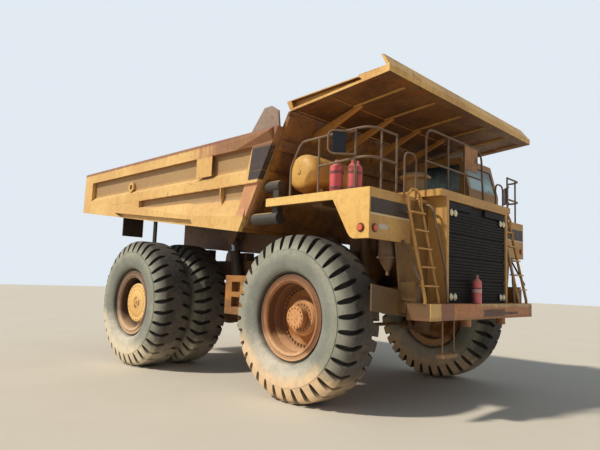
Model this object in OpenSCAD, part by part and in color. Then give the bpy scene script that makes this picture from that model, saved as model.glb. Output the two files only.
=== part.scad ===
// Rigid mining dump truck, 136 tonne class, with a canopied tipping bed.
// Front faces -Y, the truck's left side is +X, the tyres stand on Z = 0. Millimetres.

/* [Wheels] */
// Radius of a loaded tyre, out to the lug tips
tyre_r = 1500; // [1460:10:1530]
// Width of a tyre across its sidewalls
tyre_w = 940; // [900:10:950]
// Outside radius of a rim flange
rim_r = 765; // [750:5:780]
// Distance between the front and rear axles
wheelbase = 5180; // [5160:10:5300]
// Distance between the front tyre centres
front_track = 4820; // [4800:10:4900]
// Distance between the outer rear tyre centres
rear_track = 5380; // [5370:10:5440]
// Distance between the two tyres of a twin pair
twin_pitch = 1070; // [1060:5:1080]
// Distance of each kingpin from the middle
kingpin_x = 1700; // [1690:5:1720]

/* [Frame] */
// Width over the two main rails
frame_w = 1700; // [1640:10:1710]
// Width of one main rail
rail_w = 300; // [260:10:320]
// Height of a main rail
rail_h = 500; // [460:10:520]
// Underside of the front part of the rails above the ground
rail_z = 1600; // [1570:10:1640]
// Front axle to the face of the bumper
bumper_reach = 2410; // [2400:10:2480]
// Width of the straight part of the bumper
bumper_w = 4060; // [3900:20:4140]
// Height of the bumper beam
bumper_h = 270; // [240:10:290]
// Top of the bumper above the ground
bumper_z = 1862; // [1850:2:1880]

/* [Bed] */
// Rear axle to the lower edge of the tail
rear_hang = 3450; // [3350:10:3600]
// Width of the bed over its rails
bed_w = 5960; // [5900:10:6000]
// Top of the side rails above the ground
bed_top = 5020; // [4980:10:5060]
// Height of the top side rail
top_rail_h = 290; // [260:10:320]
// Height of the middle side rail
mid_rail_h = 320; // [280:10:340]
// Thickness of the bed plates
bed_plate = 40; // [30:2:50]
// Underside of the floor at the nose above the ground
nose_z = 3075; // [3060:5:3100]
// Rise of the floor towards the tail, degrees
floor_rise = 6.67; // [6.4:0.1:7]
// Front axle to the lower edge of the front wall
nose_y = 1310; // [1300:10:1360]
// Forward lean of the front wall, degrees
wall_lean = 28.2; // [27.8:0.1:28.6]
// Reach of the canopy ahead of the front axle
canopy_reach = 2100; // [2050:10:2160]
// Height of the canopy's front edge
canopy_h = 118; // [100:2:140]

/* [Front end] */
// Width of the hood
hood_w = 2480; // [2440:10:2500]
// Front axle to the grille
grille_reach = 2235; // [2200:5:2235]
// Top of the side decks above the ground
deck_z = 3660; // [3640:5:3680]
// Width over the side decks
deck_w = 5920; // [5880:10:5960]
// Front axle to the front face of the side decks
deck_reach = 1870; // [1850:5:1890]
// Height of the fender boxes below the deck top
fender_h = 810; // [780:10:840]
// Top of the walkway over the hood above the ground
walk_z = 3830; // [3820:5:3850]
// Thickness of the deck plates
deck_t = 60; // [50:2:70]
// Height of the handrails above the side decks
hand_h = 990; // [960:10:1020]
// Diameter of the handrail tubes
hand_d = 42; // [36:2:48]

/* [Cab] */
// Width of the cab
cab_w = 1450; // [1400:10:1480]
// Top of the cab roof above the ground
cab_top = 5050; // [5000:10:5060]
// Thickness of the cab walls and posts
cab_t = 60; // [50:2:70]
// Thickness of the glass
glass_t = 12; // [8:1:16]

/* [Hidden] */

// Running clearance of a pin or a shaft in its bore
fit = 0.4;
// Smallest room kept between pieces that move past each other
room = 12;
// Gap left under a piece that is welded or bolted to what carries it
seat = 0.3;

// Axle positions, with the part centred front to back
front_y = bumper_reach - (bumper_reach + wheelbase + rear_hang) / 2;
rear_y = front_y + wheelbase;

// Rear rails rise over the axle
rail_rise = 520;
rail_out = frame_w / 2;
rail_in = rail_out - rail_w;

// Load bed lines, measured from the front axle
floor_slope = tan(floor_rise);
tail_y = wheelbase + rear_hang;
tail_lean = 70;
wall_slope = tan(wall_lean);
function floor_z(y) = nose_z + (y - nose_y) * floor_slope;
function wall_y(z) = nose_y - (z - nose_z) * wall_slope;
// Height at which the front wall's face meets a plane t above the floor line
function wall_foot(t) = nose_z + t / (1 + wall_slope * floor_slope);
rail_proud = 110;
bed_out = bed_w / 2;
mid_rail_top = 4320;
ledge_rear = 5280;
ledge_top = 3845;
flare_out = 120;
bed_rib = 80;
canopy_half = bed_out - rail_proud - bed_plate - 10;
canopy_z0 = 5300;
canopy_rise = 5.5;
canopy_fall = 2.6;
canopy_lip = 195;
canopy_step = -1480;
wall_rib = 100;
brace_xs = [-2000, -1000, 0, 1000, 2000];
pivot_y = wheelbase + 920;
pivot_z = 2850;
pivot_d = 140;
ear_r = 120;
beam_z0 = 2750;
beam_z1 = 3000;

// Hoist cylinders, measured from the front axle
hoist_x = rail_out + 145;
hoist_y0 = 3450;
hoist_z0 = 1200;
hoist_y1 = 3900;
hoist_z1 = 3100;
hoist_len = norm([hoist_y1 - hoist_y0, hoist_z1 - hoist_z0]);
hoist_tilt = atan2(hoist_y1 - hoist_y0, hoist_z1 - hoist_z0);
hoist_pin = 90;
stage_d = 220;
ram_d = 160;

post_d = hand_d - 4;

// Wheels
cleaner_z = 2300;
lugs = 34;
groove_deep = 90;
rim_half = 335;
barrel_r = rim_r - 95;
well_r = 560;
spindle_d = 300;
axle_d = 420;
rear_out = rear_track / 2;
rear_in = rear_out - twin_pitch;
front_x = front_track / 2;
arm_y = 520;
arm_z = 1180;
tie_gap = 0.5;

// Front end heights, measured from the front axle
deck_rear = 545;
hood_rear = -1520;
hood_half = hood_w / 2;
walk_half = 1410;
walk_t = 120;
cab_x0 = hood_half + room;
cab_front = 1390;
cab_rear = -100;
cab_sill = 900;
door_gap = 8;
hinge_y = cab_rear - 150 - door_gap / 2;
hinge_zs = [deck_z + 260, cab_top - 400];
ladder_x = 1850;
hand_x = deck_w / 2 - 45;
// Sides of a rail tube, kept low because the node holds many tubes
rail_fn = 8;
hand_z = deck_z + hand_h;
tank_x = 480 - deck_w / 2;

module both() { children(); mirror([1, 0, 0]) children(); }
module at_front() { translate([0, front_y, 0]) children(); }

// A [y, z] outline drawn out along X
module side_cut(pts, x0, x1) {
  translate([x0, 0, 0]) rotate([90, 0, 90]) linear_extrude(x1 - x0) polygon(pts);
}

// An [x, z] outline drawn out along Y
module front_cut(pts, y0, y1) {
  translate([0, y1, 0]) rotate([90, 0, 0]) linear_extrude(y1 - y0) polygon(pts);
}

module block(lo, hi) { translate(lo) cube(hi - lo); }

module rod_x(x0, x1, y, z, d, fn = 40) {
  translate([x0, y, z]) rotate([0, 90, 0]) cylinder(h = x1 - x0, d = d, $fn = fn);
}

// A round bar between two points
module bar(a, b, d, fn = 16) {
  v = b - a;
  translate(a) rotate([0, acos(v[2] / norm(v)), atan2(v[1], v[0])])
    cylinder(h = norm(v), d = d, $fn = fn);
}

// A tube through a row of points, with a knuckle at each bend
module tube(pts, d, fn = 16) {
  for (i = [0 : len(pts) - 2]) bar(pts[i], pts[i + 1], d, fn);
  for (i = [1 : 1 : len(pts) - 2]) translate(pts[i]) sphere(d = d + 2, $fn = fn);
}

// Points that round the corner p between a and b, starting r away from it
function rounded(a, p, b, r, n = 1) = [for (i = [0 : n]) let (t = i / n, u = p + (a - p) * r / norm(a - p),
  w = p + (b - p) * r / norm(b - p)) u * (1 - t) * (1 - t) + 2 * p * t * (1 - t) + w * t * t];

// Main rails with cross members, strut towers and the bed pivot ears
module frame() color("#8f6a35") at_front() {
  y_end = pivot_y + 200;
  z1 = rail_z + rail_h;
  zr = z1 + rail_rise;
  both() {
    side_cut([[-1750, rail_z], [2500, rail_z], [3500, zr - rail_h], [y_end, zr - rail_h],
      [y_end, zr], [3300, zr], [2300, z1], [-1750, z1]], rail_in, rail_out);
    // tower that carries the front strut
    block([rail_in, -450, z1], [rail_out, 220, walk_z - walk_t]);
    // pivot ears on the rail, with the pin through them
    for (x = [rail_in + 10, rail_out - 90]) hull() {
      rod_x(x, x + 80, pivot_y, pivot_z, 2 * ear_r);
      block([x, pivot_y - 160, zr - 40], [x + 80, pivot_y + 160, zr]);
    }
    rod_x(rail_in + 10, rail_out - 10, pivot_y, pivot_z, pivot_d);
    // bump pads under the bed beams
    for (y = [3600, 5200])
      block([rail_in + 40, y, zr], [rail_out - 40, y + 260, beam_low(y) - room]);
    // hanger that carries the foot pin of the hoist
    block([rail_out - 60, hoist_y0 - 130, hoist_z0 - 150],
      [rail_out, hoist_y0 + 130, rail_z + 760]);
    rod_x(rail_out, hoist_x + 125, hoist_y0, hoist_z0, hoist_pin);
  }
  // cross members
  block([-rail_in, -420, rail_z], [rail_in, 200, z1 - 40]);
  block([-rail_in, 1500, rail_z], [rail_in, 1900, z1 - 40]);
  rod_x(-rail_out + 60, rail_out - 60, hoist_y0, hoist_z0, 200);
  rod_x(-rail_in, rail_in, pivot_y - 100, zr - 250, 300);
  block([-rail_in, 4500, zr - 300], [rail_in, 4800, zr - 60]);
  // cross member that the axle's torque frame hangs from
  block([-rail_in, 3200, tyre_r + 180], [rail_in, 3400, zr - rail_h + 180]);
}

// Underside of the bed beams at y
function beam_low(y) = beam_z0 + (y - 2200) * (beam_z1 - beam_z0) / (pivot_y - 2200);

// Struts on their towers: the steered knuckles turn on their rods
module front_axle() color("#7a5a30") at_front() both() {
  // arm from the tower to the strut
  block([rail_out, -500, 2350], [kingpin_x - 100, 200, 2750]);
  translate([kingpin_x, 0, 1760]) cylinder(h = 1250, d = 400, $fn = 40);
  translate([kingpin_x, 0, 1300]) cylinder(h = 480, d = 240, $fn = 40);
  // post that carries the deck
  translate([kingpin_x - 330, -590, 2200]) cylinder(h = deck_z - deck_t - 2300, d = 220, $fn = 32);
  // beam under the side deck
  block([kingpin_x - 500, -700, deck_z - deck_t - 140], [deck_w / 2 - 200, -480, deck_z - deck_t]);
}

// Axle housing with its hanging struts
module rear_axle() color("#6b5233") at_front() {
  translate([0, wheelbase, tyre_r]) sphere(d = 1150, $fn = 48);
  rod_x(-1050, 1050, wheelbase, tyre_r, 620, 48);
  rod_x(-rear_out - 150, rear_out + 150, wheelbase, tyre_r, axle_d, 48);
  both() {
    bar([700, wheelbase + 250, tyre_r + 60], [700, wheelbase + 500, rail_z + rail_rise - 60], 260, 24);
    block([rail_in + 10, wheelbase + 360, rail_z + rail_rise - 80],
      [rail_out - 10, wheelbase + 660, rail_z + rail_rise]);
  }
  // torque frame forward to the rails
  block([-200, 3200, tyre_r - 120], [200, wheelbase, tyre_r + 180]);
  block([-rail_in, 3200, tyre_r - 60], [rail_in, 3400, tyre_r + 180]);
}

// Engine and gearbox as plain blocks
module engine() color("#5c5446") at_front() {
  block([-520, -1450, rail_z + 60], [520, -420, 3250]);
  block([-400, 200, rail_z + 20], [400, 1500, 2600]);
}

// Hood: sides, front frame round the grille and a closed top
module hood() color("#a67a3c") at_front() difference() {
  block([-hood_half, -grille_reach, bumper_z], [hood_half, hood_rear, walk_z - walk_t]);
  block([-hood_half + 40, -grille_reach + 120, bumper_z - 1],
    [hood_half - 40, hood_rear + 1, walk_z - walk_t - 40]);
  block([-hood_half + 85, -grille_reach - 1, bumper_z - 1],
    [hood_half - 85, -grille_reach + 121, walk_z - walk_t - 50]);
}

// Louvred panel set back in the hood opening, under a header with two dark vents
module grille() color("#231f20") at_front() {
  w = hood_half - 85;
  header = 150;
  h = (walk_z - walk_t - 50 - header - bumper_z) / 4;
  block([-w, -grille_reach + 60, bumper_z], [w, -grille_reach + 90, walk_z - walk_t - 50]);
  for (i = [0 : 3]) for (k = [0 : 6]) let (z = bumper_z + i * h + k * (h - 24) / 7)
    side_cut([[-grille_reach + 60, z], [-grille_reach + 30, z + 6], [-grille_reach + 22, z + (h - 24) / 7 - 6],
      [-grille_reach + 60, z + (h - 24) / 7 - 16]], -w, w);
  for (x = [-w + 10, 250]) block([x, -grille_reach + 12, walk_z - walk_t - 190], [x + 850, -grille_reach + 60, walk_z - walk_t - 70]);
}

// Walkway slab over the hood
module hood_walkway() color("#b98a45") at_front() difference() {
  block([-walk_half, -grille_reach + 10, walk_z - walk_t], [walk_half, 420, walk_z]);
  block([cab_x0 - room, -cab_front - room, 0], [walk_half + 1, 421, walk_z + 1]);
}

// Bumper beam with swept ends and two tow eyes
module bumper() color("#a3703a") at_front() difference() {
  union() {
    translate([0, 0, bumper_z - bumper_h]) linear_extrude(bumper_h)
      polygon([[-bumper_w / 2, -bumper_reach], [bumper_w / 2, -bumper_reach],
        [bumper_w / 2 + 60, -bumper_reach + 400], [-bumper_w / 2 - 60, -bumper_reach + 400]]);
    both() {
      block([rail_in, -bumper_reach + 400, rail_z], [rail_out, -1750, bumper_z - 30]);
      translate([700, -bumper_reach + 90, rail_z - 130]) cylinder(h = 130, d = 180, $fn = 40);
    }
  }
  both() translate([700, -bumper_reach + 90, rail_z - 200]) cylinder(h = 360, d = 80, $fn = 32);
}

// Deck plate with an edge skirt and its fender box, which is open below
module side_deck() {
  x1 = deck_w / 2;
  x0 = hood_half;
  zb = deck_z - fender_h;
  block([x0, -deck_reach, deck_z - deck_t], [x1, deck_rear, deck_z]);
  // edge skirt with a folded lip
  block([x1 - 30, -deck_reach, deck_z - 150], [x1, deck_rear, deck_z - deck_t]);
  block([x1 - 80, -1125, deck_z - 150], [x1 - 30, deck_rear, deck_z - 138]);
  // fender box: front wall, slanted side wall and the folded edge behind it
  block([x0 + 570, -deck_reach, zb], [x1, -deck_reach + 30, deck_z - deck_t]);
  side_cut([[-deck_reach + 30, deck_z - deck_t], [-deck_reach + 30, zb], [-1560, zb], [-1490, zb + 30],
    [-1430, zb + 110], [-1110, deck_z - 150], [-1110, deck_z - deck_t]], x1 - 30, x1);
  side_cut([[-1560, zb], [-1490, zb + 30], [-1430, zb + 110], [-1110, deck_z - 150], [-1125, deck_z - 150],
    [-1445, zb + 120], [-1500, zb + 45], [-1560, zb + 16]], x1 - 130, x1 - 30);
  block([x0 + 570, -deck_reach + 30, zb], [x1 - 30, -deck_reach + 70, zb + 16]);
}

module deck_right() color("#e8b869") at_front() mirror([1, 0, 0]) side_deck();
module deck_left() color("#c9964c") at_front() side_deck();

// Upright panels between the fenders and the bumper, a wing behind each tyre and the step boxes
module front_panels() color("#8c6531") at_front() both() {
  y = -deck_reach;
  front_cut([[hood_half, deck_z - deck_t], [hood_half + 570, deck_z - deck_t], [hood_half + 570, deck_z - fender_h - seat],
    [hood_half + 980, deck_z - fender_h - seat], [hood_half + 850, 2060], [deck_w / 2 - 110, 2150],
    [deck_w / 2 - 110, 1730], [hood_half + 600, 1620], [hood_half, 1620]], y, y + 30);
  // step box on the bumper's end
  block([hood_half + 690, y - 290, bumper_z + 40], [hood_half + 850, y, 2200]);
  block([hood_half + 690, y - 290, bumper_z + 10], [hood_half + 830, y, bumper_z + 40]);
  block([hood_half + 690, y - 120, 1700], [hood_half + 840, y, bumper_z + 10]);
}

// Cab outline in side view, windscreen leaning back
function cab_side(inset) = [[-cab_front + inset, deck_z + inset], [-cab_front + inset, deck_z + cab_sill - 260],
  [-1200 + inset, cab_top - inset], [cab_rear - inset, cab_top - inset], [cab_rear - inset, deck_z + inset]];

// Hollow cab with its windows and door opening cut out
module cab_shell() color("#8b7346") at_front() difference() {
  x0 = cab_x0;
  x1 = cab_x0 + cab_w;
  side_cut(cab_side(0), x0, x1);
  side_cut(cab_side(cab_t), x0 + cab_t, x1 - cab_t);
  // windscreen and rear window
  block([x0 + 110, -cab_front - 10, deck_z + cab_sill - 220], [x1 - 110, -900, cab_top - 160]);
  block([x0 + 110, cab_rear - 110, deck_z + cab_sill - 120], [x1 - 110, cab_rear + 10, cab_top - 200]);
  // right window
  block([x0 - 10, -1150, deck_z + cab_sill - 260], [x0 + 110, cab_rear - 200, cab_top - 160]);
  // door opening
  block([x1 - 110, -1050, deck_z + 100], [x1 + 10, cab_rear - 150, cab_top - 120]);
}

// Hinge knuckles on the cab, above and below those of the door
module cab_hinges() color("#6d5a38") at_front() {
  x1 = cab_x0 + cab_w;
  for (z = hinge_zs) for (dz = [-60 - fit, 60 + fit]) {
    translate([x1 + 20, hinge_y, z + dz]) cylinder(h = 60, d = 36, $fn = 24);
    block([x1, hinge_y, z + dz], [x1 + 20, hinge_y + 60, z + dz + 60]);
  }
}

// Panes seated in the window openings
module cab_glass() color("#4d6a70") at_front() {
  x0 = cab_x0;
  x1 = cab_x0 + cab_w;
  z0 = deck_z + cab_sill - 220;
  dy = (cab_front - 1200) / (cab_top - deck_z - cab_sill + 260);
  y0 = -cab_front + (z0 - deck_z - cab_sill + 260) * dy;
  y1 = -cab_front + (cab_top - 160 - deck_z - cab_sill + 260) * dy;
  side_cut([[y0 + 20, z0], [y1 + 20, cab_top - 160], [y1 + 20 + glass_t, cab_top - 160],
    [y0 + 20 + glass_t, z0]], x0 + 110, x1 - 110);
  block([x0 + 110, cab_rear - 40, deck_z + cab_sill - 120], [x1 - 110, cab_rear - 40 + glass_t, cab_top - 200]);
  block([x0 + 20, -1150, deck_z + cab_sill - 260], [x0 + 20 + glass_t, cab_rear - 200, cab_top - 160]);
}

// Seat, console and steering wheel
module cab_seat() color("#2c2c2e") at_front() {
  cx = cab_x0 + cab_w / 2;
  z = deck_z + cab_t;
  block([cx - 130, -640, z], [cx + 130, -400, z + 320]);
  block([cx - 260, -780, z + 320], [cx + 260, -300, z + 440]);
  block([cx - 250, -380, z + 440], [cx + 250, -280, z + 1000]);
  block([cx - 420, -1330, z], [cx + 420, -1120, z + 560]);
  bar([cx, -1130, z + 480], [cx, -950, z + 640], 60);
  translate([cx, -950, z + 640]) rotate([48, 0, 0]) cylinder(h = 40, d = 440, $fn = 40);
}

// Door leaf on the cab's left side, hinged at its rear edge
module cab_door() color("#8b7346") at_front() {
  x1 = cab_x0 + cab_w;
  y0 = -1050 + door_gap;
  y1 = cab_rear - 150 - door_gap;
  difference() {
    block([x1 - cab_t, y0, deck_z + 100 + door_gap], [x1, y1, cab_top - 120 - door_gap]);
    block([x1 - cab_t - 1, y0 + 90, deck_z + cab_sill - 200], [x1 + 1, y1 - 90, cab_top - 220]);
  }
  block([x1, y0 + 60, deck_z + 560], [x1 + 30, y0 + 120, deck_z + 740]);
  for (z = hinge_zs) {
    translate([x1 + 20, hinge_y, z]) cylinder(h = 60, d = 36, $fn = 24);
    block([x1, y1 - 60, z], [x1 + 20, hinge_y, z + 60]);
  }
}

module door_glass() color("#4d6a70") at_front()
  block([cab_x0 + cab_w - 40, -1050 + door_gap + 90, deck_z + cab_sill - 200],
    [cab_x0 + cab_w - 40 + glass_t, cab_rear - 150 - door_gap - 90, cab_top - 220]);

// Access ladders from the bumper to the decks, each with an arch to hold at the top
module ladders() color("#a3733a") at_front() both() {
  top = [0, -deck_reach - 60, deck_z - deck_t / 2];
  foot = [0, -bumper_reach + 110, bumper_z + 60];
  for (x = [ladder_x - 230, ladder_x + 170])
    tube(concat([[x, foot[1], bumper_z], [x, foot[1], foot[2]]],
      rounded([x, foot[1], foot[2]], [x, top[1], top[2]], [x, -deck_reach, top[2]], 30), [[x, -deck_reach - seat, top[2]]]), 56);
  for (i = [0.75 : 1 : 5]) {
    p = foot + (top - foot) * i / 5.6;
    side_cut([[p[1] - 70, p[2] - 18], [p[1] + 70, p[2] - 18], [p[1] + 70, p[2] + 8], [p[1] - 70, p[2] + 8]],
      ladder_x - 230, ladder_x + 170);
  }
  // arch beside the top of the ladder
  tube(concat([[ladder_x + 170, -deck_reach - 110, deck_z - 320]],
    rounded([ladder_x + 170, -deck_reach - 110, deck_z - 320], [ladder_x + 200, -deck_reach - 90, deck_z + 110],
      [ladder_x - 200, -deck_reach - 90, deck_z + 110], 130),
    rounded([ladder_x + 200, -deck_reach - 90, deck_z + 110], [ladder_x - 190, -deck_reach - 90, deck_z + 110],
      [ladder_x - 230, -deck_reach - 100, deck_z - 200], 110),
    [[ladder_x - 230, -deck_reach - 100, deck_z - 240]]), 44);
}

// Step board hung below the right end of the bumper
module hanging_step() color("#7d5a36") at_front() {
  z0 = bumper_z - bumper_h;
  for (x = [-1560, -1180]) bar([x, -bumper_reach + 60, 1040], [x, -bumper_reach + 60, z0], 26);
  block([-1600, -bumper_reach + 10, 980], [-1130, -bumper_reach + 150, 1040]);
}

// Handrails round the decks, the walkway and the ladders
module handrails() color("#6f5c48") at_front() {
  y1 = -deck_reach + 40;
  zm = deck_z + 505;
  // side rail of the right deck
  tube(concat([[-hand_x, -50, deck_z], [-hand_x, -50, deck_z + 520], [-hand_x, -300, hand_z - 30]],
    [[-hand_x, -730, hand_z - 20], [-hand_x, -1530, hand_z]]), hand_d, rail_fn);
  bar([-hand_x, -730, deck_z], [-hand_x, -730, hand_z - 20], post_d, rail_fn);
  tube([[-hand_x, -730, zm - 40], [-hand_x, -1530, zm]], hand_d, rail_fn);
  // corner and front rails of both decks
  both() {
    bar([hand_x, -1530, deck_z], [hand_x, -1530, hand_z], post_d, rail_fn);
    for (z = [hand_z, zm]) {
      translate([hand_x, -1530, z]) sphere(d = hand_d + 8, $fn = rail_fn);
      tube(concat([[hand_x, -1530, z]],
        rounded([hand_x, -1530, z], [hand_x, y1, z], [2600, y1, z], 250), [[2180, y1, z]]), hand_d, rail_fn);
    }
    for (x = [2188, 2620]) bar([x, y1, deck_z], [x, y1, hand_z], post_d, rail_fn);
    // hoop at the top of the ladder
    tube(concat([[1950, y1, deck_z]], rounded([1950, y1, deck_z], [1950, y1, deck_z + 760], [1770, y1, deck_z + 760], 88),
      rounded([1950, y1, deck_z + 760], [1590, y1, deck_z + 760], [1590, y1, deck_z], 175), [[1590, y1, deck_z]]), 36, rail_fn);
    // rails beside the ladders
    tube(concat([[2060, -deck_reach, 2870], [2060, -deck_reach - 40, 2870]],
      rounded([2060, -deck_reach - 40, 2870], [2110, -2235, 2250], [ladder_x + 170, -2235, 2250], 36),
      [[ladder_x + 170 + 28 + seat, -2235, 2250]]), hand_d, rail_fn);
    tube(concat([[1400, -deck_reach, deck_z - 110]],
      rounded([1400, -deck_reach, deck_z - 110], [1400, -deck_reach - 170, deck_z - 110], [1360, -2290, 2400], 110),
      [[1360, -2290, 2300], [1360, -bumper_reach + 90, bumper_z + 120], [1360, -bumper_reach + 90, bumper_z]]), hand_d, rail_fn);
  }
  // rail over the hood
  zt = walk_z + 1170;
  tube(concat([[-1270, y1, walk_z]], rounded([-1270, y1, walk_z], [-1270, y1, zt], [-400, y1, zt], 240),
    rounded([-1270, y1, zt], [900, y1, zt], [1000, y1, walk_z], 260), [[1000, y1, walk_z + 60], [1000, y1, walk_z]]),
    hand_d, rail_fn);
  for (x = [-470, 160]) bar([x, y1, walk_z], [x, y1, zt], post_d, rail_fn);
  tube([[-1270, y1, walk_z + 560], [970, y1, walk_z + 560]], post_d, rail_fn);
}

// Mirrors in their rounded frames, carried by the corner posts
module mirrors() color("#3c3f44") at_front() both() {
  x0 = hand_x + post_d / 2;
  z0 = hand_z - 440;
  z1 = hand_z - 60;
  s = [x0 + seat, -1530, 0];
  a = [x0 + 40, -1530, 0];
  b = [x0 + 340, -1250, 0];
  up0 = [0, 0, z0];
  up1 = [0, 0, z1];
  tube(concat([s + up1, a + up1], rounded(a + up1, b + up1, b + up0, 110), rounded(b + up1, b + up0, a + up0, 110),
    [a + up0, s + up0]), 34);
  translate([x0 + 200, -1366, z0 + 18]) rotate([0, 0, atan2(280, 340)]) block([-110, -14, 0], [110, 14, z1 - z0 - 36]);
}

// Blank plate on the front handrail
module front_plate() color("#b08a4c") at_front()
  block([130, -deck_reach + 40 - hand_d / 2 - 14, walk_z + 660], [680, -deck_reach + 40 - hand_d / 2, walk_z + 1140]);

// Air tank lying across the right deck
module air_tank() color("#e2b25c") at_front() {
  x = tank_x;
  z = deck_z + 490;
  rod_x(x, -1500, -30, z, 720, 48);
  translate([x, -30, z]) rotate([0, -90, 0]) rotate_extrude($fn = 48)
    polygon([[0, 0], [360, 0], [352, 60], [320, 120], [250, 170], [150, 200], [0, 210]]);
  // straps round the shell and a boss on the end
  for (xs = [tank_x + 150, -1750]) rod_x(xs, xs + 60, -30, z, 732, 48);
  rod_x(x - 225, x - 200, -30, z, 90, 20);
  for (x = [tank_x + 180, -1700]) block([x - 40, -260, deck_z], [x + 40, 200, z - 200]);
}

// Upright red bottles beside the tank, with their valves and brackets
module fire_bottles() color("#a83a3c") at_front() {
  for (p = [[tank_x - 40, -800, 120], [tank_x + 80, -1060, 80], [tank_x + 230, -1060, 80], [tank_x + 60, -700, 60]]) {
    translate([p[0], p[1], deck_z]) {
      cylinder(h = 520, r = p[2], $fn = 32);
      translate([0, 0, 520]) cylinder(h = 60, r1 = p[2], r2 = p[2] * 0.35, $fn = 32);
      translate([0, 0, 580]) cylinder(h = 60, r = p[2] * 0.3, $fn = 16);
      for (z = [110, 390]) translate([0, 0, z]) cylinder(h = 40, r = p[2] + 8, $fn = 32);
    }
  }
}

// Hand extinguisher standing on the bumper
module extinguisher() color("#b02a33") at_front() {
  translate([-290, -bumper_reach + 87, bumper_z]) {
    cylinder(h = 400, d = 170, $fn = 32);
    translate([0, 0, 400]) cylinder(h = 60, d1 = 170, d2 = 60, $fn = 32);
    translate([0, 0, 460]) cylinder(h = 60, d = 60, $fn = 20);
  }
}

// Intake cap that stands on the walkway
module precleaner() color("#8a7a45") at_front() {
  translate([-1100, -1500, walk_z]) {
    cylinder(h = 270, d = 430, $fn = 40);
    translate([0, 0, 250]) cylinder(h = 30, d1 = 430, d2 = 580, $fn = 40);
    translate([0, 0, 280]) cylinder(h = 40, d = 580, $fn = 40);
    translate([0, 0, 320]) cylinder(h = 60, d1 = 580, d2 = 400, $fn = 40);
  }
}

// Air cleaner canisters under the decks, behind the fenders
module air_cleaners() color("#6e5a38") at_front() both() translate([2100, -1630, cleaner_z]) {
  cylinder(h = 90, d = 70, $fn = 24);
  translate([0, 0, 80]) cylinder(h = 200, d1 = 100, d2 = 330, $fn = 36);
  translate([0, 0, 280]) cylinder(h = 30, d = 380, $fn = 36);
  translate([0, 0, 310]) cylinder(h = deck_z - deck_t - cleaner_z - 310, d = 330, $fn = 36);
}

// Twin lamps in the corners of the grille, each in a bezel
module headlamps() color("#efe6c8") at_front() both()
  for (z = [bumper_z + 115, walk_z - 380]) for (x = [925, 1065])
    translate([x, -grille_reach + 22 - seat, z]) rotate([90, 0, 0]) {
      cylinder(h = 22, d = 128, $fn = 28);
      translate([0, 0, 22]) cylinder(h = 16, d1 = 112, d2 = 70, $fn = 28);
    }

// Round marker lamps on the fender corners, each in a ring
module marker_lamps() color("#9c3d28") at_front() both() {
  z = deck_z - 640;
  translate([deck_w / 2, -1710, z]) rotate([0, 90, 0]) { cylinder(h = 12, d = 140, $fn = 28); cylinder(h = 34, d = 96, $fn = 28); }
  translate([deck_w / 2 - 140, -deck_reach, z]) rotate([90, 0, 0]) { cylinder(h = 12, d = 140, $fn = 28); cylinder(h = 34, d = 96, $fn = 28); }
}

// Tank behind the right front wheel, with two step holes
module hydraulic_tank() color("#c08a45") at_front() difference() {
  union() {
    block([-2250, 1850, 1400], [-rail_out - 20, 2550, 2230]);
    block([-rail_out - 20, 1900, 1700], [-rail_out, 2300, 2050]);
  }
  for (z = [1560, 1880]) block([-2251, 2050, z], [-2100, 2330, z + 210]);
}

// Round ended tank on the left rail
module fuel_tank() color("#c08a45") at_front() {
  translate([1550, 1850, 1750]) rotate([-90, 0, 0]) cylinder(h = 950, d = 900, $fn = 48);
  block([rail_out, 2050, 1800], [1300, 2450, 2050]);
}

// Dark ducts from the engine to the bed rails
module exhaust_ducts() color("#26282c") at_front() {
  bar([-2750, 345, 3920], [-2750, wall_y(4030) - 60 - 2 * room, 3920], 220, 32);
  bar([-2780, 330, 3310], [-2780, wall_y(3425) - 60 - 2 * room, 3310], 230, 32);
  block([-2840, 350, 3360], [-2700, 500, deck_z - deck_t]);
  block([-2820, 360, deck_z], [-2690, 500, 3860]);
}

// Sloped floor of the load bed on cross ribs
module bed_floor() color("#a9773a") at_front() {
  t0 = bed_rib;
  w = bed_out - rail_proud;
  t1 = t0 + bed_plate;
  side_cut([[wall_y(wall_foot(t0)), wall_foot(t0)], [tail_y, floor_z(tail_y) + t0],
    [tail_y, floor_z(tail_y) + t1], [wall_y(wall_foot(t1)), wall_foot(t1)]], -w, w);
  for (y = [nose_y : 610 : tail_y - 100])
    side_cut([[y, floor_z(y)], [y + 120, floor_z(y + 120)], [y + 120, floor_z(y + 120) + t0],
      [y, floor_z(y) + t0]], -w, w);
}

// Long beams under the floor, with the pivot brackets
module bed_beams() color("#8f6531") at_front() both() {
  y0 = 2000;
  y1 = pivot_y + 350;
  side_cut([[y0, beam_low(y0)], [y1, beam_low(y1)], [y1, floor_z(y1) - seat], [y0, floor_z(y0) - seat]],
    rail_in + 20, rail_out - 20);
  difference() {
    hull() {
      rod_x(rail_in + 110, rail_out - 110, pivot_y, pivot_z, 2 * ear_r - 10);
      block([rail_in + 110, pivot_y - 180, beam_low(pivot_y - 180) - 1],
        [rail_out - 110, pivot_y + 180, beam_low(pivot_y + 180)]);
    }
    rod_x(rail_in, rail_out, pivot_y, pivot_z, pivot_d + 2 * fit);
  }
  // plates beside the eye of the hoist rod
  for (x = [hoist_x - 110, hoist_x + 80])
    side_cut([[hoist_y1 - 260, floor_z(hoist_y1 - 260) - seat], [hoist_y1 - 80, hoist_z1 - 80],
      [hoist_y1 + 80, hoist_z1 - 80], [hoist_y1 + 260, floor_z(hoist_y1 + 260) - seat]], x, x + 30);
}

// Thin slice of the ledge above the lower rail, from the recess down to the outer face
module ledge_slice(y, fold) {
  zu = ledge_top - (ledge_rear - y) * 0.0135;
  front_cut([[bed_out - rail_proud, zu], [bed_out, fold], [bed_out, fold - 90],
    [bed_out - rail_proud, fold - 90]], y - 1, y);
}

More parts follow.
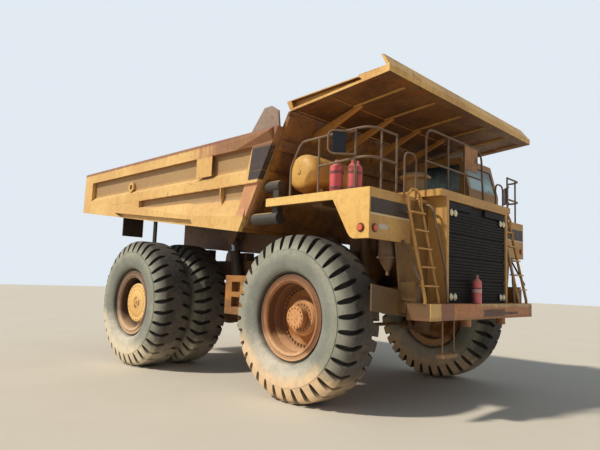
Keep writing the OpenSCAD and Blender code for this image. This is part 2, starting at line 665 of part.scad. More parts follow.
// One side: a plate with a top rail, a middle rail, a lower box rail and posts
module side_plate() {
  x1 = bed_out;
  x0 = x1 - rail_proud;
  z2 = mid_rail_top - mid_rail_h;
  z3 = bed_top - top_rail_h;
  folds = [[ledge_rear, ledge_top - 5], [4700, 3735], [2970, 3484], [1180, 3365]];
  difference() {
    union() {
      block([x0 - bed_plate, -300, nose_z - 50], [x0, tail_y + 10, bed_top]);
      // top rail and the middle rail with its sloped top
      block([x0, -300, z3], [x1, tail_y + 10, bed_top]);
      front_cut([[x0, mid_rail_top], [x0, z2], [x1, z2], [x1, mid_rail_top - 110]], 600, tail_y + 10);
      // posts at the front edge
      side_cut([[400, z3], [980, z3], [1110, mid_rail_top - 40], [1130, z2 + 10], [400, z2 + 10]], x0, x1);
      side_cut([[600, z2 + 10], [1210, z2 + 10], [1430, 3400], [1180, 3360], [600, 3360]], x0, x1 - 40);
      // sloped ledge, and the face below its fold
      for (i = [0 : 2]) hull() {
        ledge_slice(folds[i][0], folds[i][1]);
        ledge_slice(folds[i + 1][0] + 1, folds[i + 1][1]);
      }
      side_cut([[nose_y - 700, nose_z - 100], [tail_y + 10, floor_z(tail_y + 10) - 1], [tail_y + 10, z2 + 1],
        [ledge_rear, z2 + 1], folds[0] - [0, 40], folds[1] - [0, 40], folds[2] - [0, 40], folds[3] - [0, 40],
        [folds[3][0], nose_z - 200]], x0, x1);
      // tail post
      block([x0, tail_y - 630, mid_rail_top - 120], [x1, tail_y + 10, z3 + 1]);
      // gusset and the lifting eye
      front_cut([[x0, z2], [x1, z2], [x1, z2 - 150], [x0, z2 - 500]], 1935, 1965);
      rod_x(x0 - 1, x0 + 70, 5820, mid_rail_top + 90, 260, 28);
      // guard that flares out of the top rail at the front
      hull() {
        block([x1 - 2, 400, z3 + 30], [x1, 402, bed_top]);
        block([x1 - 2, 400, bed_top - 100], [x1 + flare_out, 402, bed_top - 95]);
        block([x1 - 2, 2060, bed_top - 110], [x1, 2070, bed_top]);
        block([x1 - 2, 1560, z3 - 10], [x1, 1562, z3]);
      }
    }
    // front edge follows the leaning wall, tail edge leans too
    side_cut([[-1000, 2900], [wall_y(2900), 2900], [wall_y(bed_top + 10), bed_top + 10], [-1000, bed_top + 10]],
      x0 - 100, x1 + 1);
    side_cut([[tail_y, nose_z - 200], [tail_y, floor_z(tail_y)], [tail_y - tail_lean, bed_top + 1],
      [tail_y + 100, bed_top + 1], [tail_y + 100, nose_z - 200]], x0 - 100, x1 + 1);
    // tail end folded in
    translate([0, 0, 2500]) linear_extrude(3000)
      polygon([[x1, tail_y - 230], [x1 - 60, tail_y + 11], [x1 + 1, tail_y + 11], [x1 + 1, tail_y - 230]]);
    // underside follows the floor
    side_cut([[0, 2500], [tail_y + 200, 2500], [tail_y + 200, floor_z(tail_y + 200)], [0, floor_z(0)]],
      x0 - 100, x1 + 1);
    // undercut below the lip of the lower rail
    side_cut([[2860, floor_z(2860) - 50], [6160, floor_z(6160) - 50], [6160, floor_z(6160) - 13],
      [6530, 3783], [3310, 3434], [2960, 3400]], x0 + 25, x1 + 1);
    // hole of the lifting eye
    rod_x(x0 + 20, x0 + 71, 5820, mid_rail_top + 90, 130, 20);
    // inner face cleared for the floor
    side_cut([[0, floor_z(0) - 400], [tail_y + 100, floor_z(tail_y + 100) - 400],
      [tail_y + 100, floor_z(tail_y + 100) + bed_rib + bed_plate + seat],
      [0, floor_z(0) + bed_rib + bed_plate + seat]], x0 - 100, x0 + seat);
  }
}

module bed_sides() color("#e6b567") at_front() both() side_plate();

// Leaning front wall with its stiffeners
module bed_front_wall() color("#8a5a2c") at_front() {
  w = bed_out - rail_proud - bed_plate - seat;
  z = wall_foot(bed_rib + bed_plate) + seat;
  h = bed_plate * 1.2;
  side_cut([[wall_y(z), z], [wall_y(z) + h, z + h * floor_slope], [wall_y(canopy_z0) + h, canopy_z0],
    [wall_y(canopy_z0), canopy_z0]], -w, w);
  // box ribs across and strips up the side edges
  for (r = [[4060, 150], [4600, 180]])
    side_cut([[wall_y(r[0]) + 1, r[0]], [wall_y(r[0]) - wall_rib, r[0]],
      [wall_y(r[0] + r[1]) - wall_rib, r[0] + r[1]], [wall_y(r[0] + r[1]) + 1, r[0] + r[1]]], -w, w);
  both() side_cut([[wall_y(z + 40) + 1, z + 40], [wall_y(z + 40) - 60, z + 40], [wall_y(5200) - 60, 5200],
    [wall_y(5200) + 1, 5200]], w - 150, w);
}

// Ears that close the corner above the side rails
module bed_ears() color("#9a8474") at_front() both()
  side_cut([[1060, bed_top], [700, 5440], [500, 5450], [310, 5330], [wall_y(bed_top) , bed_top]],
    bed_out - 60, bed_out - 20);

module bed_plate_panel() color("#c9a968") at_front()
  block([-bed_out - 14, 2270, 4290], [-bed_out, 2830, 4750]);

// Underside and top of the canopy at y
function cz(y) = canopy_z0 + (wall_y(canopy_z0) - y) * tan(canopy_rise);
function ct(y) = cz(-canopy_reach) + canopy_h - (y + canopy_reach) * tan(canopy_fall);

// Canopy: slab with ribs below, grooved sides and an upturned lip
module canopy() color("#b58445") at_front() {
  w = canopy_half;
  y0 = -canopy_reach;
  y1 = wall_y(canopy_z0) - 1;
  y2 = y1 + 130;
  ya = y0 + 200;
  yb = -740;
  xs = concat([-w - 10], brace_xs, [w + 10]);
  difference() {
    side_cut([[y0, cz(y0)], [y1, cz(y1)], [y2, ct(y2)], [y0 + 60, ct(y0 + 60)],
      [y0 + 165, ct(y0) + canopy_lip], [y0 + 120, ct(y0) + canopy_lip], [y0, ct(y0)]], -w, w);
    // shallow bays between the ribs
    for (i = [0 : len(xs) - 2])
      side_cut([[ya, cz(ya) - 60], [yb, cz(yb) - 60], [yb, cz(yb) + 45], [ya, cz(ya) + 45]],
        xs[i] + (i == 0 ? 130 : 45), xs[i + 1] - (i == len(xs) - 2 ? 130 : 45));
    side_cut([[yb - 1, cz(yb) - 60], [y1 - 60, cz(y1 - 60) - 60], [y1 - 60, cz(y1 - 60) + 30],
      [yb - 1, cz(yb) + 30]], 120 - w, w - 120);
    // grooves in the sides, up to the closed front box
    both() side_cut([[canopy_step - 70, cz(canopy_step - 70) + 48], [y1 - 60, cz(y1 - 60) + 48],
      [y1 - 10, ct(y1 - 10) - 40], [canopy_step, ct(canopy_step) - 40]], w - 90, w + 1);
    // strip off the top edge behind the front box
    both() side_cut([[canopy_step, ct(canopy_step) - 22], [y2 + 10, ct(y2 + 10) - 22], [y2 + 10, ct(y2) + 50],
      [canopy_step, ct(canopy_step) + 50]], w - 60, w + 1);
    // lip cut back at its left end
    front_cut([[w - 190, ct(y0) + canopy_lip + 1], [w + 1, ct(y0) + canopy_lip + 1], [w + 1, ct(y0) + 30],
      [w - 60, ct(y0) + 30]], y0 - 1, y0 + 200);
  }
}

// Tapered props from the front wall up to the ribs of the canopy
module canopy_braces() color("#a9793c") at_front()
  for (x = brace_xs) {
    z = x > cab_x0 ? 4980 : 4850;
    y = x > cab_x0 ? -600 : -860;
    side_cut([[wall_y(z) - seat, z], [wall_y(z + 230) - seat, z + 230], [y + 150, cz(y + 150) - seat],
      [y - 60, cz(y - 60) - seat]], x - 45, x + 45);
  }

// Bars that hang between the twin tyres
module rock_ejectors() color("#4a3f33") at_front() both()
  side_cut([[pivot_y - 330, floor_z(pivot_y - 330) + bed_rib - seat], [pivot_y - 330, 2560],
    [pivot_y - 210, 2560], [pivot_y - 210, floor_z(pivot_y - 210) + bed_rib - seat]], (rear_out + rear_in) / 2 - 25, (rear_out + rear_in) / 2 + 25);

// Dark flaps under the tail
module tail_flaps() color("#1f1c19") at_front() both()
  side_cut([[7150, floor_z(7150) + bed_rib - seat], [7150, 3250], [7190, 3250],
    [7190, floor_z(7190) + bed_rib - seat]], 1780, 2390);

// Hoist pieces, drawn upright from the foot pin and then tilted
module on_hoist(s) {
  at_front() translate([s * hoist_x, hoist_y0, hoist_z0]) rotate([-hoist_tilt, 0, 0]) children();
}

module hoist_barrel() color("#3b3a38") difference() {
  union() {
    rod_x(-70, 70, 0, 0, 210);
    translate([0, 0, 90]) cylinder(h = 1610, d = 260, $fn = 40);
  }
  rod_x(-80, 80, 0, 0, hoist_pin + 2 * fit);
  translate([0, 0, 140]) cylinder(h = 1600, d = stage_d + 2 * fit, $fn = 40);
}

module hoist_stage() color("#8d8f92") difference() {
  translate([0, 0, 150]) cylinder(h = 1600, d = stage_d, $fn = 40);
  translate([0, 0, 170]) cylinder(h = 1600, d = ram_d + 2 * fit, $fn = 40);
}

module hoist_rod() color("#b9bcc0") {
  translate([0, 0, 180]) cylinder(h = hoist_len - 240, d = ram_d, $fn = 40);
  translate([0, 0, hoist_len]) rod_x(-60, 60, 0, 0, 180);
}

module hoist_barrel_right() on_hoist(-1) hoist_barrel();
module hoist_barrel_left() on_hoist(1) hoist_barrel();
module hoist_stage_right() on_hoist(-1) hoist_stage();
module hoist_stage_left() on_hoist(1) hoist_stage();
module hoist_rod_right() on_hoist(-1) hoist_rod();
module hoist_rod_left() on_hoist(1) hoist_rod();

// Steered knuckle with its spindle and its arm
module knuckle() color("#6b5233") at_front() difference() {
  union() {
    translate([kingpin_x, 0, 1050]) cylinder(h = 680, d = 400, $fn = 40);
    rod_x(kingpin_x, front_x + 60, 0, tyre_r, spindle_d);
    side_cut([[0, arm_z - 100], [arm_y + 90, arm_z - 60], [arm_y + 90, arm_z], [0, arm_z]],
      kingpin_x - 60, kingpin_x + 60);
  }
  translate([kingpin_x, 0, 1290]) cylinder(h = 500, d = 240 + 2 * fit, $fn = 40);
}

module knuckle_left() knuckle();
module knuckle_right() mirror([1, 0, 0]) knuckle();

// Tie rod that lies on the two arms
module tie_rod() color("#7a6a55") at_front() {
  rod_x(-kingpin_x, kingpin_x, arm_y, arm_z + 60 + tie_gap, 80);
  both() translate([kingpin_x, arm_y, arm_z + tie_gap]) cylinder(h = 110, d = 150, $fn = 32);
}

// Rim with a deep dish, a bolted hub and a bore for the spindle
module rim_front() color("#b5713c") {
  difference() {
    union() {
      rotate([0, 90, 0]) {
        // barrel and flanges
        translate([0, 0, -rim_half]) cylinder(h = 2 * rim_half, r = barrel_r, $fn = 64);
        for (z = [-rim_half, rim_half - 40]) translate([0, 0, z]) cylinder(h = 40, r = rim_r, $fn = 64);
      }
    }
    rotate([0, 90, 0]) {
      translate([0, 0, -rim_half - 1]) cylinder(h = 2 * rim_half + 2, r = well_r + 60, $fn = 64);
    }
  }
  difference() {
    union() {
      rotate([0, 90, 0]) {
        translate([0, 0, -120]) cylinder(h = 60, r = well_r + 61, $fn = 64);
        translate([0, 0, -rim_half]) cylinder(h = rim_half + 60, r = 300, $fn = 48);
        cylinder(h = 220, r = 190, $fn = 48);
      }
    }
    rod_x(-rim_half - 100, 62, 0, 0, spindle_d + 2 * fit);
  }
}

module rim_front_left() at_front() translate([front_x, 0, tyre_r]) rim_front();
module rim_front_right() mirror([1, 0, 0]) rim_front_left();

// Round band of a tyre with its sidewalls, out to the lug tips
module tyre_band(w) rotate([0, 90, 0]) rotate_extrude($fn = 60)
  polygon([[barrel_r + fit, 41 - rim_half], [barrel_r + fit, rim_half - 41], [rim_r + 40, rim_half - 41],
    [rim_r + 75, w / 2 - 60], [tyre_r - 500, w / 2 - 2], [tyre_r - 330, w / 2], [tyre_r - 100, w / 2 - 78],
    [tyre_r - 20, w / 2 - 120], [tyre_r, w / 2 - 150], [tyre_r, 150 - w / 2], [tyre_r - 20, 120 - w / 2],
    [tyre_r - 100, 78 - w / 2], [tyre_r - 330, -w / 2], [tyre_r - 500, 2 - w / 2], [rim_r + 75, 60 - w / 2],
    [rim_r + 40, 41 - rim_half]]);

// Lugs of one shoulder, seen along the axle, with open grooves between them
module lug_ring(turn) rotate(turn) polygon([for (i = [0 : lugs - 1]) let (a = i * 360 / lugs)
  for (p = [[tyre_r - groove_deep, -4.3], [tyre_r + 60, -3.9], [tyre_r + 60, 3.9], [tyre_r - groove_deep, 4.3]])
    p[0] * [cos(a + p[1]), sin(a + p[1])]]);

// Tyre with lugs on both shoulders, or the plain one that its twin hides
module tyre(w = tyre_w, inner = false) color("#6f7168") if (inner) tyre_band(w); else intersection() {
  tyre_band(w);
  rotate([0, 90, 0]) union() {
    translate([0, 0, -130]) cylinder(h = 260, r = tyre_r + 60, $fn = lugs);
    translate([0, 0, 130]) linear_extrude(w / 2) lug_ring(0);
    translate([0, 0, -130 - w / 2]) linear_extrude(w / 2) lug_ring(180 / lugs);
  }
}

module tyre_front_left() at_front() translate([front_x, 0, tyre_r]) tyre();
module tyre_front_right() mirror([1, 0, 0]) tyre_front_left();

// Twin rims on one drum, with the final drive cover
module rim_rear() color("#a8754f") difference() {
  union() {
    for (x = [rear_in, rear_out]) rotate([0, 90, 0]) translate([0, 0, x]) difference() {
      union() {
        translate([0, 0, -rim_half]) cylinder(h = 2 * rim_half, r = barrel_r, $fn = 64);
        for (z = [-rim_half, rim_half - 40]) translate([0, 0, z]) cylinder(h = 40, r = rim_r, $fn = 64);
      }
      translate([0, 0, -rim_half - 1]) cylinder(h = 2 * rim_half + 2, r = well_r + 50, $fn = 64);
    }
    rotate([0, 90, 0]) translate([0, 0, rear_in - rim_half + 60])
      cylinder(h = twin_pitch + 260, r = well_r + 51, $fn = 64);
    rotate([0, 90, 0]) translate([0, 0, rear_out - 30]) cylinder(h = 230, r = 460, $fn = 56);
  }
  rod_x(rear_in - rim_half - 100, rear_out + 152, 0, 0, axle_d + 2 * fit);
  rotate([0, 90, 0]) translate([0, 0, rear_in - rim_half - 10]) cylinder(h = 260, r = 400, $fn = 56);
}

module rim_rear_left() at_front() translate([0, wheelbase, tyre_r]) rim_rear();
module rim_rear_right() mirror([1, 0, 0]) rim_rear_left();

module tyres_rear_left() at_front()
  for (x = [rear_in, rear_out]) translate([x, wheelbase, tyre_r]) tyre(inner = x == rear_in);
module tyres_rear_right() mirror([1, 0, 0]) tyres_rear_left();

frame();
front_axle();
rear_axle();
engine();
hood();
grille();
hood_walkway();
bumper();
deck_right();
deck_left();
front_panels();
cab_shell();
cab_hinges();
cab_glass();
cab_seat();
cab_door();
door_glass();
ladders();
hanging_step();
handrails();
mirrors();
front_plate();
air_tank();
fire_bottles();
extinguisher();
precleaner();
air_cleaners();
headlamps();
marker_lamps();
hydraulic_tank();
fuel_tank();
exhaust_ducts();
bed_floor();
bed_beams();
bed_sides();
bed_front_wall();
bed_ears();
bed_plate_panel();
canopy();
canopy_braces();
rock_ejectors();
tail_flaps();
hoist_barrel_right();
hoist_barrel_left();
hoist_stage_right();
hoist_stage_left();
hoist_rod_right();
hoist_rod_left();
knuckle_right();
knuckle_left();
tie_rod();
rim_front_right();
rim_front_left();
tyre_front_right();
tyre_front_left();
rim_rear_right();
rim_rear_left();
tyres_rear_right();
tyres_rear_left();
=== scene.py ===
import math
import bpy
import bmesh
from mathutils import Vector, Matrix

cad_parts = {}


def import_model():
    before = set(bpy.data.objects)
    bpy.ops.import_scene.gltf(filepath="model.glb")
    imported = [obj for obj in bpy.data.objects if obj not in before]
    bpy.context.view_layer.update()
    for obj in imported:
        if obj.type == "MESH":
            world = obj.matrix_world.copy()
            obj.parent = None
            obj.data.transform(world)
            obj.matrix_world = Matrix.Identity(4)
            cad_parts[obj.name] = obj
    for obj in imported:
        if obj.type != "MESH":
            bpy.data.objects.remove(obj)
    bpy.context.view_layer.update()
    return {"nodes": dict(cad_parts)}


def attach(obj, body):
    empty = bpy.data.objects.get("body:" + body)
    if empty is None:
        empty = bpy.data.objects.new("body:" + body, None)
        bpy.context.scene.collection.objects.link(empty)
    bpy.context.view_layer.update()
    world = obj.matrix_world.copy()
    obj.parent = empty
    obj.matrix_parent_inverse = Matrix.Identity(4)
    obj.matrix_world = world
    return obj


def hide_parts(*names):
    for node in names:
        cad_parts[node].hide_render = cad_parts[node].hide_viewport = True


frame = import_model()
nodes = frame["nodes"]

# Metres in the shared frame: the truck faces -Y, its left is +X, and the tyres stand on Z = 0
AXLE_Y = -3.110                 # front axle
WHEELBASE = 5.180
TYRE_R = 1.5
FRONT_X = 2.41                  # middle of a front tyre
REAR_XS = (1.62, 2.69)          # middles of twin tyres
FENDER_Y = -4.980               # front wall of the fenders
DECK, WALK = 3.660, 3.830       # tops of the decks and of the walkway over the hood
HAND_X, HAND_Y = 2.915, -1.830  # handrails at the decks' edges; Y is measured from the front axle
CORNER_Y = -1.53                # post before the handrails' corner, from the front axle
HAND_TOP, HAND_MID = 4.650, 4.165
HOOD_RAIL_TOP, HOOD_RAIL_MID = 5.0, 4.39
RAIL_D, POST_D = 0.042, 0.038

# Camera fitted to the photograph, and the sun's direction in it
CAM_AT = Vector((-9.524, -6.843 + AXLE_Y, 2.126))
YAW, PITCH, ROLL = (math.radians(a) for a in (45.421, 6.170, 2.115))
PHOTO_W, FOCAL_PX, SENSOR_MM = 600, 532.307, 36
SUN = Vector((-1.0, 0.50, 1.10))
FLOOR_HALF, FLOOR_Z = 90, -0.002


# Node helpers

def rgb(r, g, b):
    """Linear colour with alpha, from sRGB bytes."""
    shares = [c / 255 for c in (r, g, b)]
    return tuple(((c + 0.055) / 1.055) ** 2.4 if c > 0.04045 else c / 12.92 for c in shares) + (1.0,)


class Mat:
    """A material whose nodes are written as nested calls."""

    def __init__(self, name):
        self.m = bpy.data.materials.new(name)
        self.m.use_nodes = True
        self.t = self.m.node_tree
        self.bsdf = self.t.nodes["Principled BSDF"]
        co = self.t.nodes.new("ShaderNodeTexCoord")
        self.pos, self.nrm = co.outputs["Object"], co.outputs["Normal"]
        self._xyz = {}

    def new(self, kind, **props):
        n = self.t.nodes.new("ShaderNode" + kind)
        for k, v in props.items():
            setattr(n, k, v)
        return n

    def put(self, socket, v):
        """Links an output to a socket, or sets the socket's value."""
        if isinstance(v, bpy.types.NodeSocket):
            self.t.links.new(v, socket)
        else:
            socket.default_value = v

    def math(self, op, a, b=0.0):
        n = self.new("Math", operation=op)
        self.put(n.inputs[0], a)
        self.put(n.inputs[1], b)
        return n.outputs[0]

    def mul(self, *v):
        r = v[0]
        for x in v[1:]:
            r = self.math("MULTIPLY", r, x)
        return r

    def add(self, *v):
        r = v[0]
        for x in v[1:]:
            r = self.math("ADD", r, x)
        return r

    def top(self, a, b):
        return self.math("MAXIMUM", a, b)

    def size(self, a):
        return self.math("ABSOLUTE", a)

    def xyz(self, v=None):
        """The three parts of a vector, or of the place."""
        v = v or self.pos
        key = v.node.name + v.name
        if key not in self._xyz:
            n = self.new("SeparateXYZ")
            self.put(n.inputs[0], v)
            self._xyz[key] = n.outputs
        return self._xyz[key]

    def span(self, v, a, b, c=0.0, d=1.0, smooth=True):
        """Goes from c to d while v goes from a to b."""
        n = self.new("MapRange", interpolation_type="SMOOTHSTEP" if smooth else "LINEAR")
        for i, x in enumerate((v, a, b, c, d)):
            self.put(n.inputs[i], x)
        return n.outputs[0]

    def between(self, v, lo, hi, soft, smooth=True):
        """1 from lo to hi, falling to 0 over soft at each end."""
        return self.mul(self.span(v, lo, lo + soft, smooth=smooth), self.span(v, hi, hi - soft, smooth=smooth))

    def noise(self, scale, detail=4.0, rough=0.6, stretch=(1, 1, 1), at=(0, 0, 0), distort=0.0):
        place = self.new("Mapping")
        self.put(place.inputs[0], self.pos)
        place.inputs["Location"].default_value = at
        place.inputs["Scale"].default_value = stretch
        n = self.new("TexNoise")
        self.put(n.inputs["Vector"], place.outputs[0])
        n.inputs["Scale"].default_value = scale
        n.inputs["Detail"].default_value = detail
        n.inputs["Roughness"].default_value = rough
        n.inputs["Distortion"].default_value = distort
        return n.outputs[0]

    def cells(self, scale):
        n = self.new("TexVoronoi", feature="F1")
        self.put(n.inputs["Vector"], self.pos)
        n.inputs["Scale"].default_value = scale
        return n.outputs[0]

    def ramp(self, v, *stops):
        n = self.new("ValToRGB")
        self.put(n.inputs[0], v)
        e = n.color_ramp.elements
        while len(e) < len(stops):
            e.new(0.5)
        for i, (p, c) in enumerate(stops):
            e[i].position = p
            e[i].color = c
        return n.outputs[0]

    def mix(self, f, a, b):
        n = self.new("Mix", data_type="RGBA", blend_type="MIX")
        self.put(n.inputs[0], f)
        self.put(n.inputs[6], a)
        self.put(n.inputs[7], b)
        return n.outputs[2]

    def lay(self, col, mask, amount, over):
        """Lays a colour over another by a share of a mask."""
        return self.mix(self.mul(mask, amount), col, over)

    def radius(self, centre):
        """Distance from the wheel's axis through centre, and the place seen from there."""
        local = self.new("VectorMath", operation="SUBTRACT")
        self.put(local.inputs[0], self.pos)
        local.inputs[1].default_value = centre
        flat = self.new("VectorMath", operation="MULTIPLY")
        self.put(flat.inputs[0], local.outputs[0])
        flat.inputs[1].default_value = (0, 1, 1)
        n = self.new("VectorMath", operation="LENGTH")
        self.put(n.inputs[0], flat.outputs[0])
        return n.outputs["Value"], local.outputs[0]

    def edges(self, radius):
        """1 on edges, where the bevelled normal leaves the true one."""
        b = self.new("Bevel", samples=4)
        b.inputs["Radius"].default_value = radius
        g = self.new("NewGeometry")
        d = self.new("VectorMath", operation="DOT_PRODUCT")
        self.put(d.inputs[0], b.outputs[0])
        self.put(d.inputs[1], g.outputs["True Normal"])
        return self.span(d.outputs["Value"], 0.995, 0.86)

    def corners(self, distance):
        """1 deep in corners, 0 on open faces."""
        n = self.new("AmbientOcclusion", samples=4)
        n.inputs["Distance"].default_value = distance
        return self.span(n.outputs["AO"], 0.95, 0.35)

    def finish(self, colour, rough, bump=None, strength=0.3, distance=0.01, metal=None, **sockets):
        self.put(self.bsdf.inputs["Base Color"], colour)
        self.put(self.bsdf.inputs["Roughness"], rough)
        if metal is not None:
            self.put(self.bsdf.inputs["Metallic"], metal)
        if bump is not None:
            n = self.new("Bump")
            n.inputs["Strength"].default_value = strength
            n.inputs["Distance"].default_value = distance
            self.put(n.inputs["Height"], bump)
            self.put(self.bsdf.inputs["Normal"], n.outputs[0])
        for k, v in sockets.items():
            self.bsdf.inputs[k.replace("_", " ")].default_value = v
        return self.m


# Weathered paint

DUST = rgb(214, 178, 128)
MUD = rgb(176, 138, 92)
RUST_DARK = rgb(88, 48, 28)
RUST = rgb(150, 84, 42)
RUST_LIGHT = rgb(196, 122, 66)
GRIME = rgb(120, 80, 36)


def paint(name, base, faded, grime=GRIME, rust=0.4, streak=0.5, dust=0.5, wear=0.6, dirt_and_shade=0.5, rough=0.55,
          under_grime_shade=None, extra=None):
    """Machine paint: faded, with streaks that run down, rust at edges, dust on top, grime with painted shade in
    corners, and grime with painted shade on faces that turn down.
    """
    k = Mat(name)
    big = k.noise(0.7, 3, 0.55)
    fine = k.noise(9, 6, 0.7)
    col = k.mix(k.span(big, 0.35, 0.68), base, faded)
    col = k.lay(col, k.span(fine, 0.42, 0.75), 0.35, grime)
    # rain streaks, long in Z
    wide = k.noise(1.0, 5, 0.7, stretch=(9, 9, 0.55), at=(3, 1, 0))
    thin = k.noise(1.0, 4, 0.6, stretch=(23, 23, 1.1), at=(7, 5, 0))
    runs = k.mul(k.span(wide, 0.50, 0.74), k.span(thin, 0.34, 0.66), k.span(big, 0.25, 0.6, 0.4, 1))
    col = k.lay(col, runs, streak, k.mix(k.span(fine, 0.3, 0.7), grime, RUST))
    # rust blooms and bare edges
    patch = k.noise(2.3, 7, 0.72, at=(11, 2, 5), distort=0.4)
    bloom = k.span(patch, 0.66 - 0.12 * rust, 0.74 - 0.10 * rust)
    chips = k.span(k.noise(14, 5, 0.7, at=(2, 8, 1)), 0.66 - 0.3 * wear, 0.74 - 0.16 * wear)
    rusty = k.top(k.mul(bloom, k.span(fine, 0.36, 0.55)), k.mul(k.edges(0.018), chips))
    col = k.lay(col, rusty, 0.85,
                k.ramp(k.noise(30, 5, 0.75), (0.3, RUST_DARK), (0.5, RUST), (0.72, RUST_LIGHT)))
    # grime and painted shade in corners, found by ambient occlusion
    col = k.lay(col, k.corners(0.35), dirt_and_shade, k.mix(0.35, grime, rgb(58, 40, 24)))
    up = k.xyz(k.nrm)[2]
    # grime and painted shade on faces that turn down
    if under_grime_shade is not None:
        col = k.lay(col, k.span(up, -0.35, -0.75), 0.9, under_grime_shade)
    dusty = k.mul(k.span(up, 0.55, 0.95), k.span(k.noise(1.7, 5, 0.65, at=(1, 1, 9)), 0.25, 0.6, 0.45, 1))
    col = k.lay(col, dusty, dust, DUST)
    splashed = k.mul(k.span(k.xyz()[2], 2.4, 0.9), k.span(fine, 0.3, 0.7))
    col = k.lay(col, splashed, 0.55, MUD)
    if extra:
        col = extra(k, col)
    matt = k.add(k.mul(rusty, 0.3), k.mul(dusty, 0.3), k.span(fine, 0.3, 0.7, rough - 0.06, rough + 0.08))
    dents = k.noise(1.3, 2, 0.5, at=(4, 4, 4))
    bump = k.add(k.mul(k.noise(55, 3, 0.6), 0.25), k.mul(rusty, -0.8), k.mul(dents, 4.0))
    return k.finish(col, matt, bump, 0.35, 0.006)


def band(k, col):
    """Painted shade over the fenders' front walls, and on them a black band with a white pinstripe and a small
    bare label.
    """
    x, y, z = k.xyz()
    front = k.span(y, FENDER_Y + 0.006, FENDER_Y + 0.002, smooth=False)
    # painted shade: the front walls face away from the sun, so they are darkened in patches
    dull = k.mul(front, k.span(k.noise(2.0, 5, 0.7, at=(8, 3, 3)), 0.25, 0.7, 0.35, 0.9))
    col = k.mix(dull, col, rgb(196, 146, 84))
    inside = k.mul(front, k.between(k.size(x), 1.80, 2.936, 0.006))
    chips = k.span(k.noise(26, 5, 0.7, at=(3, 3, 3)), 0.66, 0.7, 1, 0)
    black = k.mul(inside, k.between(z, 3.262, 3.506, 0.004), chips)
    col = k.lay(col, black, 0.95, k.mix(k.noise(5, 4), rgb(22, 17, 14), rgb(40, 31, 26)))
    stripe = k.mul(inside, k.between(z, 3.234, 3.253, 0.003), chips)
    col = k.lay(col, stripe, 0.9, rgb(236, 226, 200))
    label = k.mul(front, k.between(x, -2.704, -2.466, 0.008, smooth=False),
                  k.between(z, 3.016, 3.104, 0.008, smooth=False))
    return k.lay(col, label, 0.9, k.mix(k.noise(9, 3), rgb(222, 214, 196), rgb(196, 190, 176)))


def bedside(k, col):
    """The bed's sides: dust and painted shade in the sunk panels between the ribs, a painted shadow on the
    front post below the top rail, rusty strips at both ends, a scraped top edge and two broken weld seams.
    """
    x, y, z = k.xyz()
    side = k.size(x)
    far = k.span(side, 2.84, 2.86)
    wob = k.span(k.noise(5, 4, 0.6, at=(6, 1, 2)), 0.3, 0.7, -0.03, 0.03)
    blot = k.noise(7, 6, 0.72, at=(1, 5, 4))
    # sunk panels between the ribs: dust and painted shade
    bay_dust_shade = k.mul(k.span(side, 2.895, 2.885), k.span(side, 2.83, 2.85),
                k.top(k.span(z, 4.25, 4.40), k.span(z, 4.05, 4.00)))
    col = k.lay(col, bay_dust_shade, k.span(blot, 0.2, 0.6, 0.95, 0.75),
                k.mix(blot, rgb(172, 136, 96), rgb(142, 110, 74)))
    rear = k.mul(k.span(k.add(y, wob, k.mul(blot, 0.3)), 5.40, 5.75), far)
    col = k.lay(col, rear, 0.6, k.mix(blot, rgb(190, 164, 136), rgb(196, 152, 110)))
    # front strips, behind the leaning front edge: the higher one is a painted shadow, the lower one pink
    before_upper_shadow = k.add(y, k.mul(z, 0.16), 1.380)
    upper_shadow = k.mul(far, k.span(before_upper_shadow, 0.01, -0.01), k.span(z, 4.05, 4.08), k.span(z, 4.76, 4.70))
    col = k.lay(col, upper_shadow, k.span(blot, 0.25, 0.5, 0.9, 1), k.mix(blot, rgb(40, 33, 34), rgb(76, 60, 54)))
    before_lower = k.add(y, k.mul(z, 0.377), 0.410, k.mul(wob, 0.3))
    lower = k.mul(far, k.span(before_lower, 0.02, -0.02), k.span(z, 3.34, 3.42), k.span(z, 4.03, 3.99))
    col = k.lay(col, lower, k.span(blot, 0.3, 0.6, 0.55, 1),
                k.mix(blot, rgb(214, 142, 100), rgb(196, 146, 106)))
    # the raised front corner and the runs below the top edge
    run = k.noise(1.0, 5, 0.7, stretch=(9, 9, 0.8), at=(2, 6, 1))
    flare = k.mul(far, k.span(y, 0.2, -0.5), k.span(z, 4.68, 4.74), k.span(run, 0.35, 0.6, 0.15, 0.85))
    col = k.mix(flare, col, k.mix(blot, rgb(190, 122, 84), rgb(160, 112, 92)))
    corner = k.mul(far, k.span(k.add(y, wob), -0.85, -0.98), k.span(z, 4.66, 4.70))
    col = k.lay(col, corner, 0.75, k.mix(blot, rgb(158, 108, 76), rgb(128, 88, 56)))
    runs = k.mul(far, k.span(z, 4.60, 4.95, 0.3, 1), k.span(run, 0.56, 0.66), k.span(y, 3.2, 1.5))
    col = k.lay(col, runs, 0.6, rgb(196, 132, 92))
    edge = k.mul(k.span(k.add(z, k.mul(run, 0.05)), 4.965, 4.995), k.span(blot, 0.3, 0.55, 0.6, 1))
    col = k.lay(col, edge, 0.9, k.mix(blot, rgb(126, 78, 62), rgb(164, 108, 84)))
    dash = k.span(k.noise(1.0, 3, 0.5, stretch=(0, 5.5, 0), at=(0, 3, 0)), 0.47, 0.5)
    lines = k.top(k.between(z, 4.226, 4.244, 0.004), k.between(z, 4.000, 4.018, 0.004))
    seams = k.mul(far, k.span(y, 3.7, 3.5), dash, lines)
    return k.lay(col, seams, 0.6, rgb(158, 102, 52))


def scraped(k, col):
    """Bare brown steel where rock slides over the bed."""
    n = k.noise(2.2, 6, 0.7, stretch=(1, 0.25, 1), at=(9, 9, 9))
    steel = k.ramp(k.noise(18, 5, 0.7), (0.3, rgb(70, 46, 34)), (0.6, rgb(132, 92, 62)))
    return k.lay(col, k.span(n, 0.42, 0.62), 0.8, steel)


